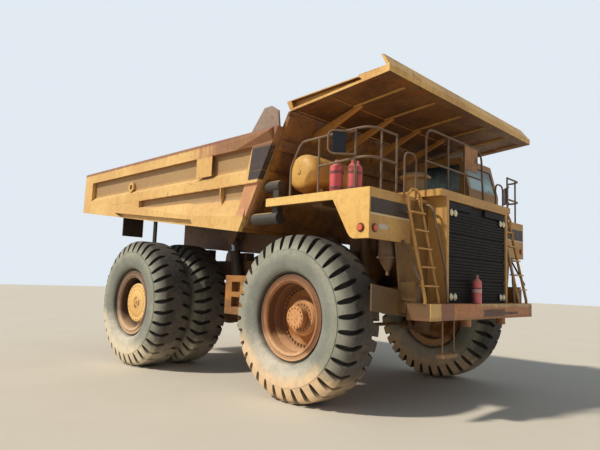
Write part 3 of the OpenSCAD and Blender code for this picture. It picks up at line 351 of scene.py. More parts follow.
def stained(k, col):
    """The bumper: rust and stains, painted shade on the side faces of its ends, and on its front a yellow end,
    a brown patch, a dark slot and a painted highlight along its top edge.
    """
    x, y, z = k.xyz()
    blot = k.noise(3.4, 6, 0.72, at=(2, 7, 3))
    fine = k.noise(16, 5, 0.7)
    wob = k.span(blot, 0.3, 0.7, -0.03, 0.03)
    across = k.add(x, wob)
    col = k.mix(0.8, col, k.ramp(fine, (0.3, rgb(168, 104, 62)), (0.65, rgb(214, 146, 92))))
    front = k.span(y, -5.50, -5.515)
    # painted shade on the side faces at the bumper's ends
    cheek_shade = k.mul(k.span(k.size(k.xyz(k.nrm)[0]), 0.6, 0.8), k.span(y, -5.0, -5.1))
    col = k.lay(col, cheek_shade, 0.92, k.mix(blot, rgb(116, 86, 50), rgb(84, 62, 38)))
    end = k.mul(front, k.span(across, -1.69, -1.73))
    col = k.lay(col, end, 0.9, k.mix(blot, rgb(226, 186, 116), rgb(236, 190, 112)))
    brown = k.mul(front, k.between(across, -1.71, -1.27, 0.04))
    col = k.lay(col, brown, 0.9, k.mix(blot, rgb(126, 82, 60), rgb(164, 108, 82)))
    runs = k.noise(1.0, 5, 0.7, stretch=(8, 8, 0.5), at=(5, 2, 1))
    col = k.lay(col, k.mul(k.span(runs, 0.55, 0.66), front), 0.75, rgb(112, 68, 44))
    soot = k.mul(front, k.span(across, -0.26, -0.16), k.span(across, 0.78, 0.66),
                 k.between(z, 1.60, 1.79, 0.05))
    slot = k.mul(front, k.span(across, 0.56, 0.66), k.span(across, 1.34, 1.28),
                 k.between(z, 1.655, 1.715, 0.01))
    col = k.lay(col, k.top(soot, slot), 0.85, rgb(62, 44, 40))
    # painted highlight along the sunlit top edge
    top_edge_highlight = k.mul(front, k.span(across, -0.4, -0.2), k.span(k.add(z, wob), 1.805, 1.825),
                k.span(fine, 0.3, 0.5, 0.4, 1))
    col = k.lay(col, top_edge_highlight, 0.7, rgb(206, 186, 130))
    low = k.mul(k.span(z, 1.68, 1.60), k.span(blot, 0.3, 0.6, 0.4, 1))
    return k.lay(col, low, 0.5, rgb(132, 84, 50))


def shaded(k, col):
    """The front panels: painted shade, darker towards the wheels and low down."""
    x, _, z = k.xyz()
    blot = k.noise(2.4, 6, 0.7, at=(4, 4, 7))
    far = k.add(k.size(x), k.span(blot, 0.3, 0.7, -0.12, 0.12))
    # painted shade, darker towards the wheels that shade these panels
    col = k.mix(k.span(far, 1.7, 2.6, 0.25, 0.92), col, k.mix(blot, rgb(96, 68, 42), rgb(66, 46, 30)))
    # painted shade, darker low down
    return k.lay(col, k.span(z, 2.5, 1.7), 0.5, rgb(102, 76, 44))


def blotched(k, col):
    """The canopy's underside: red-brown rust in large patches over old yellow."""
    down = k.span(k.xyz(k.nrm)[2], -0.35, -0.75)
    big = k.noise(1.1, 6, 0.7, at=(5, 9, 2), distort=0.6)
    patch = k.noise(2.6, 7, 0.75, at=(1, 3, 8), distort=0.8)
    col = k.lay(col, k.mul(down, k.span(big, 0.4, 0.62)), 0.75, rgb(84, 50, 30))
    col = k.lay(col, k.mul(down, k.span(patch, 0.54, 0.64)), 0.8, rgb(140, 72, 34))
    return k.lay(col, k.mul(down, k.span(patch, 0.40, 0.30)), 0.5, rgb(150, 104, 56))


def labelled(k, col):
    """Bare pale label, dark seam and dull neck of the extinguisher, and the bottles' straps."""
    _, y, z = k.xyz()
    ahead = k.span(y, -5.20, -5.24)
    label = k.mul(ahead, k.between(z, 2.065, 2.125, 0.005), k.span(k.noise(20, 4), 0.35, 0.5))
    col = k.lay(col, label, 0.75, rgb(206, 196, 186))
    seam = k.mul(ahead, k.between(z, 2.128, 2.152, 0.003))
    col = k.lay(col, seam, 0.85, rgb(84, 40, 44))
    neck = k.mul(ahead, k.span(z, 2.315, 2.32))
    col = k.lay(col, neck, 0.8, rgb(120, 104, 100))
    straps = k.top(k.between(z, 3.769, 3.811, 0.002), k.between(z, 4.049, 4.091, 0.002))
    return k.lay(col, k.mul(k.span(y, -4.4, -4.3), straps), 0.8, rgb(96, 80, 72))


# Materials of their own

def chrome():
    k = Mat("ram_chrome")
    f = k.noise(18, 5, 0.7)
    col = k.mix(k.span(f, 0.5, 0.7), rgb(170, 172, 176), rgb(120, 112, 100))
    return k.finish(col, k.span(f, 0.3, 0.7, 0.2, 0.45), f, 0.1, 0.002, metal=0.9)


def glass():
    """Dusty cab glass: dark above, with a pale teal painted reflection of the sky low down."""
    k = Mat("cab_glass")
    z = k.xyz()[2]
    f = k.noise(2.2, 5, 0.7)
    col = k.mix(k.span(f, 0.35, 0.7), rgb(34, 44, 48), rgb(60, 76, 80))
    # painted reflection: pale teal of the sky, low on the panes
    sky = k.mul(k.span(k.add(z, k.mul(f, 0.5)), 5.15, 4.75),
                k.span(k.noise(1.6, 4, 0.6, at=(3, 1, 2)), 0.35, 0.6, 0.45, 1))
    col = k.mix(sky, col, k.mix(f, rgb(150, 202, 206), rgb(198, 226, 232)))
    low = k.mul(k.span(z, 4.35, 4.1), k.span(k.noise(12, 5, 0.7), 0.35, 0.65))
    col = k.lay(col, low, 0.5, DUST)
    return k.finish(col, k.span(f, 0.3, 0.7, 0.06, 0.2), k.noise(1.5, 2), 0.05, 0.01, Alpha=0.88)


def lamp():
    """Cream lens in a dark bezel."""
    k = Mat("lamp_glass")
    f = k.cells(60)
    lens = k.span(k.xyz()[1], -5.3450, -5.3460, smooth=False)
    cream = k.mix(k.span(f, 0.1, 0.6), rgb(252, 240, 200), rgb(232, 214, 166))
    return k.finish(k.mix(lens, rgb(40, 34, 30), cream), 0.3, f, 0.4, 0.003, Coat_Weight=0.5)


def marker():
    """Red lens in front of its rusty ring, on the fenders' sides and front walls."""
    k = Mat("marker_lamp")
    x, y, _ = k.xyz()
    lens = k.top(k.span(k.size(x), 2.974, 2.9755), k.span(y, -4.994, -4.9955))
    col = k.mix(lens, k.mix(k.noise(14, 4), rgb(74, 38, 22), rgb(112, 62, 32)),
                k.mix(k.noise(9, 4), rgb(214, 92, 62), rgb(232, 122, 84)))
    return k.finish(col, 0.4, k.cells(70), 0.2, 0.002)


def grille():
    k = Mat("grille_black")
    col = k.mix(k.span(k.noise(7, 6, 0.7), 0.45, 0.8), rgb(24, 21, 21), rgb(52, 42, 36))
    col = k.lay(col, k.span(k.xyz(k.nrm)[2], 0.5, 0.9), 0.25, MUD)
    return k.finish(col, 0.7, k.noise(40, 4), 0.3, 0.004, Specular_IOR_Level=0.25)


def mirror():
    """Dark pane of a side mirror."""
    k = Mat("mirror_dark")
    f = k.noise(6, 5, 0.7)
    col = k.mix(k.span(f, 0.4, 0.7), rgb(12, 14, 24), rgb(30, 30, 38))
    return k.finish(col, k.span(f, 0.3, 0.7, 0.3, 0.5), f, 0.05, 0.002, Specular_IOR_Level=0.3)


M = {
    "side": paint("paint_side", rgb(246, 202, 118), rgb(236, 186, 102), rust=0.35, streak=0.4, wear=0.8,
                  grime=rgb(168, 112, 52), under_grime_shade=rgb(120, 78, 34), extra=band),
    "bed": paint("paint_bed", rgb(244, 200, 124), rgb(228, 180, 108), rust=0.45, streak=0.35, wear=0.9,
                 grime=rgb(176, 124, 64), under_grime_shade=rgb(140, 92, 40), dirt_and_shade=0.4, extra=bedside),
    # painted shade: the yellow paint darkened, for parts whose front faces turn from the sun
    "front": paint("paint_front_shaded", rgb(232, 182, 92), rgb(216, 164, 80), rust=0.3, streak=0.4, wear=0.5,
                   grime=rgb(140, 94, 42), under_grime_shade=rgb(130, 84, 36), extra=band),
    "canopy": paint("paint_canopy", rgb(240, 190, 106), rgb(206, 150, 78), rust=0.6, streak=0.7, wear=1.0,
                    under_grime_shade=rgb(104, 64, 34), extra=blotched),
    "bare": paint("paint_worn", rgb(196, 138, 66), rgb(170, 112, 52), rust=0.9, streak=0.8, wear=1.0,
                  under_grime_shade=rgb(110, 66, 30), extra=scraped),
    "bumper": paint("paint_bumper", rgb(206, 142, 84), rgb(190, 124, 72), rust=0.7, streak=0.5, wear=0.7,
                    under_grime_shade=rgb(110, 66, 30), extra=stained),
    # painted shade: the yellow paint darkened for the front panels, which the fenders and tyres shade
    "panel": paint("paint_panel_shaded", rgb(192, 146, 76), rgb(168, 122, 62), rust=0.3, streak=0.5, wear=0.5,
                   grime=rgb(110, 74, 38), under_grime_shade=rgb(90, 58, 28), dirt_and_shade=0.8, extra=shaded),
    # painted shade: the yellow paint darkened for the cab in the canopy's shade, with more grime
    "cab": paint("paint_cab_shaded", rgb(190, 144, 82), rgb(160, 118, 66), rust=0.3, streak=0.5, wear=0.5,
                 grime=rgb(110, 78, 44), under_grime_shade=rgb(100, 66, 34), dirt_and_shade=0.9),
    "brace": paint("paint_brace", rgb(214, 156, 78), rgb(190, 130, 62), rust=0.6, streak=0.3, wear=0.6,
                   grime=rgb(130, 84, 40), under_grime_shade=rgb(196, 134, 64)),
    "olive": paint("paint_olive", rgb(190, 158, 100), rgb(166, 134, 82), rust=0.3, streak=0.5, wear=0.4,
                   grime=rgb(110, 86, 54)),
    "ladder": paint("paint_ladder", rgb(216, 164, 88), rgb(196, 142, 74), rust=0.25, streak=0.4, wear=0.35,
                    grime=rgb(140, 94, 50)),
    "brown": paint("paint_brown", rgb(134, 98, 62), rgb(104, 76, 50), rust=0.6, streak=0.6, wear=0.8,
                   dirt_and_shade=0.8, grime=rgb(62, 44, 30)),
    "sooty": paint("paint_sooty", rgb(128, 96, 64), rgb(96, 72, 50), rust=0.3, streak=0.6, wear=0.4,
                   dirt_and_shade=0.8, grime=rgb(54, 40, 28)),
    "dark": paint("dark_steel", rgb(64, 58, 52), rgb(84, 72, 60), rust=0.4, streak=0.3, wear=0.4, dust=0.7,
                  grime=rgb(36, 32, 28)),
    "red": paint("paint_red", rgb(232, 100, 106), rgb(226, 132, 126), rust=0.1, streak=0.3, wear=0.3,
                 grime=rgb(136, 60, 54), rough=0.38, extra=labelled),
    "rail": paint("rail_paint", rgb(132, 110, 84), rgb(104, 84, 66), rust=0.7, streak=0.3, wear=0.9,
                  grime=rgb(66, 50, 38)),
    "ear": paint("paint_ear", rgb(168, 146, 130), rgb(150, 122, 102), rust=0.9, streak=0.5, wear=1.0,
                 grime=rgb(90, 62, 46)),
    "chrome": chrome(),
    "glass": glass(),
    "lamp": lamp(),
    "marker": marker(),
    "grille": grille(),
    "mirror": mirror(),
}

USE = {
    "side": ["deck_right"],
    "bed": ["bed_sides", "bed_plate_panel"],
    "canopy": ["canopy"],
    "front": ["deck_left", "hood", "hood_walkway", "air_tank"],
    "panel": ["front_panels"],
    "cab": ["cab_shell", "cab_door", "cab_hinges"],
    "brace": ["canopy_braces"],
    "olive": ["precleaner"],
    "sooty": ["air_cleaners"],
    "bare": ["bed_floor", "bed_front_wall", "hydraulic_tank", "fuel_tank", "front_plate"],
    "bumper": ["bumper"],
    "ladder": ["ladders"],
    "ear": ["bed_ears"],
    "brown": ["frame", "front_axle", "rear_axle", "bed_beams", "knuckle_right", "knuckle_left", "tie_rod",
              "hanging_step", "engine"],
    "dark": ["exhaust_ducts", "tail_flaps", "rock_ejectors", "cab_seat", "hoist_barrel_right",
             "hoist_barrel_left"],
    "red": ["fire_bottles", "extinguisher"],
    "marker": ["marker_lamps"],
    "chrome": ["hoist_stage_right", "hoist_stage_left", "hoist_rod_right", "hoist_rod_left"],
    "glass": ["cab_glass", "door_glass"],
    "lamp": ["headlamps"],
    "grille": ["grille"],
}


def dress(node, mat):
    """Gives a CAD node its material."""
    me = nodes[node].data
    me.materials.clear()
    me.materials.append(mat)


# Mesh helpers. A mesh is a pair of vertices and faces; sx is -1 on the truck's right and 1 on its left.

def add_piece(name, mesh, mat, body, node=None):
    """Adds a mesh that rides on a body and may replace a CAD node."""
    me = bpy.data.meshes.new(name)
    me.from_pydata(mesh[0], [], mesh[1])
    o = bpy.data.objects.new(name, me)
    bpy.context.collection.objects.link(o)
    me.materials.append(mat)
    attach(o, body)
    if node:
        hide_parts(node)
    return o


def soften(o, degrees):
    """Smooth shading, with edges that turn by more than the angle kept sharp."""
    me = o.data
    me.shade_smooth()
    bm = bmesh.new()
    bm.from_mesh(me)
    for e in bm.edges:
        if len(e.link_faces) == 2 and e.calc_face_angle(0) > math.radians(degrees):
            e.smooth = False
    bm.to_mesh(me)
    bm.free()


def join_mesh(meshes):
    verts, faces = [], []
    for some_verts, some_faces in meshes:
        start = len(verts)
        verts += some_verts
        faces += [tuple(i + start for i in f) for f in some_faces]
    return verts, faces


def lathe(profile, centre, sx, n=96):
    """Closed profile of (x outwards, r) turned about the wheel's axis."""
    cx, cy, cz = centre
    m = len(profile)
    turns = [2 * math.pi * j / n for j in range(n)]
    verts = [(cx + sx * x, cy + r * math.sin(a), cz + r * math.cos(a)) for a in turns for x, r in profile]
    faces = []
    for j in range(n):
        e = (j + 1) % n
        for i in range(m):
            k = (i + 1) % m
            f = (j * m + i, e * m + i, e * m + k, j * m + k)
            faces.append(f if sx > 0 else f[::-1])
    return verts, faces


def bolts(centre, sx, x, radius, count, size, height):
    """Ring of six-sided bolt heads on a wheel face, standing on x."""
    sides = 6
    sink = 0.004
    cx, cy, cz = centre
    verts, faces = [], []
    for j in range(count):
        a = 2 * math.pi * j / count
        y0, z0 = cy + radius * math.sin(a), cz + radius * math.cos(a)
        o = len(verts)
        for h, share in ((-sink, 1.0), (height * 0.8, 1.0), (height, 0.82)):
            for i in range(sides):
                b = a + 2 * math.pi * i / sides
                r = share * size
                verts.append((cx + sx * (x + h), y0 + r * math.sin(b), z0 + r * math.cos(b)))
        for ring in (o, o + sides):
            for i in range(sides):
                e = (i + 1) % sides
                f = (ring + i, ring + e, ring + sides + e, ring + sides + i)
                faces.append(f if sx > 0 else f[::-1])
        top = tuple(o + 2 * sides + i for i in range(sides))
        low = tuple(o + i for i in range(sides))
        faces += [top, low[::-1]] if sx > 0 else [top[::-1], low]
    return verts, faces


def bend(path, steps=7):
    """Rounds each inner point that is given as (x, y, z, radius)."""
    out = [Vector(path[0][:3])]
    for a, p, b in zip(path, path[1:], path[2:]):
        q = Vector(p[:3])
        if len(p) < 4:
            out.append(q)
            continue
        u = q + (Vector(a[:3]) - q).normalized() * p[3]
        w = q + (Vector(b[:3]) - q).normalized() * p[3]
        for i in range(steps + 1):
            t = i / steps
            out.append(u * (1 - t) ** 2 + 2 * q * t * (1 - t) + w * t * t)
    out.append(Vector(path[-1][:3]))
    return out


def pipe(path, d, sides=12):
    """Tube along a path, with closed ends. Its mitres are widened where the bend is slight."""
    pts = bend(path)
    verts, faces = [], []
    side = None
    for i, p in enumerate(pts):
        before = (p - pts[i - 1]).normalized() if i else None
        after = (pts[i + 1] - p).normalized() if i < len(pts) - 1 else None
        t = ((before or after) + (after or before)).normalized()
        if side is None:
            side = t.cross(Vector((0, 0, 1)) if abs(t.z) < 0.9 else Vector((0, 1, 0))).normalized()
        side = (side - t * side.dot(t)).normalized()
        up = t.cross(side)
        mitre = 1.0 / max(0.6, math.cos(before.angle(after) / 2)) if before and after else 1.0
        r = d / 2 * (mitre if mitre < 1.08 else 1.0)
        for k in range(sides):
            a = 2 * math.pi * k / sides
            verts.append(tuple(p + (side * math.cos(a) + up * math.sin(a)) * r))
    last = (len(pts) - 1) * sides
    for i in range(0, last, sides):
        for k in range(sides):
            e = (k + 1) % sides
            faces.append((i + k, i + e, i + sides + e, i + sides + k))
    faces.append(tuple(range(sides))[::-1])
    faces.append(tuple(last + k for k in range(sides)))
    return verts, faces


def bar(sx, d, *points):
    """Pipe through points of one side, measured from the front axle."""
    return pipe([(sx * p[0], AXLE_Y + p[1]) + tuple(p[2:]) for p in points], d)


def rounded_box(size, radius, steps, place):
    """Box with rounded edges, set in place by a matrix."""
    bm = bmesh.new()
    bmesh.ops.create_cube(bm, size=1.0)
    bmesh.ops.scale(bm, vec=size, verts=bm.verts)
    bmesh.ops.bevel(bm, geom=list(bm.edges), offset=radius, segments=steps, affect="EDGES", profile=0.5)
    bmesh.ops.transform(bm, matrix=place, verts=bm.verts)
    bm.verts.index_update()
    mesh = [tuple(v.co) for v in bm.verts], [tuple(v.index for v in f.verts) for f in bm.faces]
    bm.free()
    return mesh


# Tyres

LUGS = 34               # on each shoulder
GROOVE_WALL = 0.022     # share of a lug's pitch that a groove's wall takes
BAND_HALF = 0.111       # half width of the closed band between the two rows of lugs
SHOULDER_R = 1.25       # a groove is cut inwards above it, and mostly sideways below

# From the middle of the tread to the bead: half width, radius, groove depth, groove half width, shift
PROFILE = [
    (0.000, 1.500, 0.000, 0.03, 0.00), (0.070, 1.500, 0.000, 0.03, 0.00), (0.108, 1.500, 0.000, 0.04, 0.00),
    (0.118, 1.500, 0.060, 0.07, 0.01), (0.145, 1.4995, 0.085, 0.100, 0.02), (0.180, 1.499, 0.090, 0.120, 0.05),
    (0.215, 1.498, 0.092, 0.130, 0.08), (0.250, 1.495, 0.094, 0.138, 0.12), (0.285, 1.489, 0.096, 0.145, 0.17),
    (0.312, 1.479, 0.100, 0.150, 0.21), (0.334, 1.464, 0.102, 0.155, 0.24), (0.352, 1.444, 0.104, 0.160, 0.25),
    (0.368, 1.420, 0.104, 0.163, 0.26), (0.384, 1.388, 0.102, 0.163, 0.26), (0.402, 1.345, 0.092, 0.155, 0.265),
    (0.420, 1.300, 0.076, 0.140, 0.27), (0.434, 1.262, 0.052, 0.115, 0.27), (0.443, 1.238, 0.024, 0.085, 0.27),
    (0.449, 1.222, 0.000, 0.06, 0.27), (0.452, 1.212, 0.000, 0.06, 0.27), (0.461, 1.206, 0.000, 0.06, 0.27),
    (0.463, 1.172, 0.000, 0.06, 0.27), (0.466, 1.160, 0.000, 0.06, 0.27), (0.468, 1.120, 0.000, 0.06, 0.27),
    (0.468, 1.060, 0.000, 0.06, 0.27), (0.464, 1.000, 0.000, 0.06, 0.27), (0.455, 0.940, 0.000, 0.06, 0.27),
    (0.440, 0.890, 0.000, 0.06, 0.27), (0.418, 0.850, 0.000, 0.06, 0.27), (0.395, 0.828, 0.000, 0.06, 0.27),
    (0.372, 0.818, 0.000, 0.06, 0.27), (0.345, 0.806, 0.000, 0.06, 0.27), (0.296, 0.790, 0.000, 0.06, 0.27),
    (0.294, 0.700, 0.000, 0.06, 0.27), (0.294, 0.6815, 0.000, 0.06, 0.27),
]


def tyre_mat(name, centre, dust):
    """Dusty rubber: pale grey-green sidewall, darker lugs with painted shade towards the front and in the
    grooves, and dust low down and towards the rear.
    """
    k = Mat(name)
    r, local = k.radius(centre)
    _, y, z = k.xyz(local)
    fine = k.noise(16, 6, 0.72)
    mid = k.noise(2.4, 5, 0.65)
    side = k.mix(k.span(mid, 0.3, 0.7), rgb(146, 146, 128), rgb(168, 165, 148))
    side = k.lay(side, k.span(fine, 0.45, 0.7), 0.4, rgb(116, 114, 104))
    tread = k.mix(k.span(mid, 0.3, 0.7), rgb(62, 58, 56), rgb(92, 85, 77))
    tread = k.lay(tread, k.span(fine, 0.4, 0.7), 0.5, rgb(120, 108, 92))
    out = k.size(k.xyz(k.nrm)[0])
    face = k.span(out, 0.4, 0.8)
    # darker lug rubber up the tread's edges, with painted shade towards the front, away from the sun
    shoulder_rubber_shade = k.mul(k.span(r, 1.23, 1.46), k.span(y, 0.9, -0.5, 0.2, 0.85))
    col = k.mix(k.top(k.span(out, 0.75, 0.3), shoulder_rubber_shade), side, tread)
    ring = k.mul(k.span(r, 1.16, 1.0), k.span(r, 0.80, 0.84), face)
    col = k.lay(col, ring, 0.55, k.mix(mid, rgb(100, 106, 108), rgb(134, 134, 124)))
    line = k.mul(k.between(r, 1.205, 1.223, 0.006), face)
    col = k.lay(col, line, 0.5, rgb(86, 84, 76))
    depth = k.add(z, k.mul(y, -0.25), k.span(mid, 0.3, 0.7, -0.15, 0.15))
    low = k.mul(k.span(depth, -0.42, -0.92), k.span(k.noise(5, 6, 0.7, at=(5, 0, 2)), 0.25, 0.6, 0.6, 1),
                k.span(out, 0.1, 0.5, 0.45, 1))
    col = k.lay(col, low, 0.9, k.mix(k.span(r, 0.95, 1.15), rgb(222, 210, 188), dust))
    # painted shade in the grooves between the lugs and in corners
    groove = k.new("Attribute", attribute_name="groove").outputs["Fac"]
    dark = k.top(k.mul(k.corners(0.12), 0.6), k.span(groove, 0.15, 0.85))
    col = k.lay(col, dark, 0.9, k.mix(k.span(z, -0.5, -1.3), rgb(34, 30, 28), rgb(92, 74, 56)))
    bump = k.add(k.mul(fine, 0.6), k.mul(k.noise(60, 3), 0.3))
    return k.finish(col, k.span(fine, 0.3, 0.7, 0.82, 0.96), bump, 0.35, 0.008)


def tyre_mesh(centre, turn, sx):
    """One tyre as a closed grid, and how deep in a groove each point lies.

    Columns follow the grooves' edges, so lugs have crisp walls. The right row of lugs stands half a pitch
    from the left one, and the middle band takes up the shift between them.
    """
    cx, cy, cz = centre
    rows = [(-w, r, d, g, s + 0.5) for w, r, d, g, s in reversed(PROFILE[1:])] + PROFILE
    verts, faces, deep = [], [], []
    for w, r, depth, half, shift in rows:
        if abs(w) < BAND_HALF:
            t = (w + BAND_HALF) / (2 * BAND_HALF)
            t = t * t * (3 - 2 * t)
            shift = 0.51 * (1 - t) + 0.01 * t
        edge = half + GROOVE_WALL
        columns = [(-edge, 0), (-half, 1), (0.0, 1), (half, 1), (edge, 0)]
        columns += [(edge + (1.0 - 2 * edge) * f, 0) for f in (0.12, 0.38, 0.62, 0.88)]
        inward = 1.0 if r > SHOULDER_R else 0.35
        for lug in range(LUGS):
            for u, grooved in columns:
                a = 2 * math.pi * (lug + u + shift) / LUGS * sx + turn
                cut = depth * grooved
                rr = r - cut * inward
                ww = w - math.copysign(cut * (1 - inward + 0.34), w) if w else w
                deep.append(cut / 0.1)
                verts.append((cx + ww, cy + rr * math.sin(a), cz + rr * math.cos(a)))
    m, n = len(rows), LUGS * len(columns)
    for i in range(m):
        k = (i + 1) % m
        for c in range(n):
            e = (c + 1) % n
            f = (i * n + c, i * n + e, k * n + e, k * n + c)
            faces.append(f if sx < 0 else f[::-1])
    return verts, faces, deep


def add_tyre(name, tyres, mat, body, node):
    """One tyre or a pair as one piece, with the grooves' depth as an attribute for its material."""
    o = add_piece(name, join_mesh([t[:2] for t in tyres]), mat, body, node)
    depths = [d for t in tyres for d in t[2]]
    o.data.attributes.new("groove", "FLOAT", "POINT").data.foreach_set("value", depths)
    soften(o, 32)


def tyres():
    for side, sx in (("right", -1), ("left", 1)):
        c = (sx * FRONT_X, AXLE_Y, TYRE_R)
        mat = tyre_mat("tyre_front_" + side, c, rgb(252, 216, 172))
        add_tyre("front_tyre_" + side, [tyre_mesh(c, 0.06 * sx, sx)], mat, "front_wheel_" + side,
                 "tyre_front_" + side)
        inner, outer = ((sx * x, AXLE_Y + WHEELBASE, TYRE_R) for x in REAR_XS)
        mat = tyre_mat("tyre_rear_" + side, outer, rgb(240, 224, 192))
        pair = [tyre_mesh(inner, 0.3, sx), tyre_mesh(outer, 0.11, sx)]
        add_tyre("rear_tyres_" + side, pair, mat, "rear_wheels_" + side, "tyres_rear_" + side)


# Rails, mirrors and the air tank, with the solids' form and round bends

def handrails():
    """Rails of the decks and of the hood, hoops at the ladders, and the handholds beside them."""
    corner = (HAND_X, CORNER_Y)
    parts = [
        bar(-1, RAIL_D, (HAND_X, -0.05, DECK), (HAND_X, -0.05, 4.18, 0.09), (HAND_X, -0.30, 4.62, 0.12),
            (HAND_X, -0.73, 4.63), (*corner, HAND_TOP)),
        bar(-1, POST_D, (HAND_X, -0.73, DECK), (HAND_X, -0.73, 4.63)),
        bar(-1, RAIL_D, (HAND_X, -0.73, 4.125), (*corner, HAND_MID)),
        bar(1, RAIL_D, (-1.27, HAND_Y, WALK), (-1.27, HAND_Y, HOOD_RAIL_TOP, 0.24),
            (0.90, HAND_Y, HOOD_RAIL_TOP, 0.26), (1.0, HAND_Y, WALK + 0.06), (1.0, HAND_Y, WALK)),
        bar(1, POST_D, (-1.27, HAND_Y, HOOD_RAIL_MID), (0.97, HAND_Y, HOOD_RAIL_MID))]
    parts += [bar(1, POST_D, (x, HAND_Y, WALK), (x, HAND_Y, HOOD_RAIL_TOP)) for x in (-0.47, 0.16)]
    hoop_top = DECK + 0.765
    for sx in (-1, 1):
        parts.append(bar(sx, POST_D, (*corner, DECK), (*corner, HAND_TOP)))
        parts += [bar(sx, RAIL_D, (*corner, z), (HAND_X, HAND_Y, z, 0.25), (2.18, HAND_Y, z))
                  for z in (HAND_TOP, HAND_MID)]
        parts += [bar(sx, POST_D, (x, HAND_Y, DECK), (x, HAND_Y, HAND_TOP)) for x in (2.188, 2.62)]
        parts.append(bar(sx, 0.036, (1.95, HAND_Y, DECK), (1.95, HAND_Y, hoop_top, 0.15),
                         (1.59, HAND_Y, hoop_top, 0.15), (1.59, HAND_Y, DECK)))
        parts.append(bar(sx, RAIL_D, (2.06, -1.87, 2.87), (2.06, -1.91, 2.87), (2.11, -2.235, 2.25, 0.04),
                         (2.048, -2.235, 2.25)))
        parts.append(bar(sx, RAIL_D, (1.40, -1.87, 3.55), (1.40, -2.04, 3.55, 0.11), (1.36, -2.29, 2.40),
                         (1.36, -2.29, 2.30), (1.36, -2.32, 1.982), (1.36, -2.32, 1.862)))
    soften(add_piece("handrails_round", join_mesh(parts), M["rail"], "chassis", "handrails"), 50)


def mirrors():
    """Bent frames on the handrails' corner posts, with a pane in each."""
    frames, panes = [], []
    low, high = 4.21, 4.59
    root = HAND_X + POST_D / 2
    for sx in (-1, 1):
        frames.append(bar(sx, 0.034, (root, CORNER_Y, high), (root + 0.04, CORNER_Y, high),
                          (root + 0.34, -1.25, high, 0.11), (root + 0.34, -1.25, low, 0.11),
                          (root + 0.04, CORNER_Y, low), (root, CORNER_Y, low)))
        turn = Matrix.Rotation(sx * math.atan2(0.28, 0.34), 4, "Z")
        middle = Matrix.Translation((sx * (root + 0.20), AXLE_Y - 1.366, (low + high) / 2))
        panes.append(rounded_box((0.22, 0.028, high - low - 0.036), 0.008, 3, middle @ turn))
    soften(add_piece("mirror_frames", join_mesh(frames), M["rail"], "chassis", "mirrors"), 50)
    add_piece("mirror_glass", join_mesh(panes), M["mirror"], "chassis", "mirrors")


def air_tank():
    """Shell with a domed end, two straps, a boss and two saddles, on the right deck."""
    y = AXLE_Y - 0.030
    axis = (0, y, 4.150)
    shell = [(1.500, 0.340), (1.502, 0.352), (1.512, 0.359), (1.520, 0.360), (2.480, 0.360), (2.520, 0.3575),
             (2.560, 0.348), (2.595, 0.332), (2.625, 0.308), (2.650, 0.275), (2.668, 0.235), (2.680, 0.190),
             (2.686, 0.140), (2.689, 0.080), (2.690, 0.050), (2.690, 0.006), (1.500, 0.006)]
    boss = [(2.676, 0.006), (2.676, 0.045), (2.702, 0.045), (2.705, 0.040), (2.705, 0.006)]
    parts = [lathe(shell, axis, -1, 80)]
    for x in (2.33, 1.75):
        strap = [(x - 0.060, 0.358), (x - 0.060, 0.364), (x - 0.057, 0.366), (x - 0.003, 0.366), (x, 0.364),
                 (x, 0.358)]
        parts.append(lathe(strap, axis, -1, 80))
    parts.append(lathe(boss, axis, -1, 24))
    for x in (-2.30, -1.70):
        parts.append(rounded_box((0.08, 0.46, 0.29), 0.005, 2, Matrix.Translation((x, y, 3.805))))
    soften(add_piece("air_tank_shell", join_mesh(parts), M["front"], "chassis", "air_tank"), 40)


# Rims, as (x from the rim's middle, r)

# lock ring and gutter
LIP = [(0.300, 0.7640), (0.3300, 0.7640), (0.3440, 0.7600), (0.3480, 0.7520), (0.3450, 0.7420),
       (0.3360, 0.7340), (0.3380, 0.7180), (0.3440, 0.7060), (0.3420, 0.6960), (0.3360, 0.6930),
       (0.3380, 0.6880), (0.3500, 0.6820), (0.3560, 0.6700), (0.3560, 0.6560), (0.3500, 0.6420),
       (0.3380, 0.6280), (0.3200, 0.6190), (0.300, 0.6185)]
STEP_RING = [(-0.062, 0.6190), (0.150, 0.6190), (0.150, 0.6120), (0.142, 0.6060), (0.060, 0.6000),
             (0.030, 0.5800), (-0.030, 0.5700), (-0.056, 0.5500), (-0.062, 0.5400)]
HUB_CONE = [(-0.062, 0.5000), (-0.048, 0.4980), (-0.046, 0.3900), (-0.040, 0.3700), (0.020, 0.3300),
            (0.050, 0.3080), (0.061, 0.2900), (0.061, 0.2860), (-0.062, 0.2860)]
HUB_FACE = [(0.150, 0.1880), (0.178, 0.1920), (0.186, 0.2040), (0.214, 0.2060), (0.222, 0.2000),
            (0.224, 0.1800), (0.2225, 0.1080), (0.2160, 0.1040), (0.2160, 0.0520), (0.2240, 0.0480),
            (0.2260, 0.0080), (0.150, 0.0080)]
COVER = [(0.180, 0.4640), (0.1980, 0.4640), (0.2100, 0.4560), (0.2160, 0.4400), (0.2180, 0.3900),
         (0.2140, 0.3820), (0.2140, 0.3640), (0.2180, 0.3560), (0.2200, 0.2000), (0.2240, 0.1920),
         (0.2250, 0.0560), (0.2300, 0.0500), (0.2310, 0.0080), (0.180, 0.0080)]


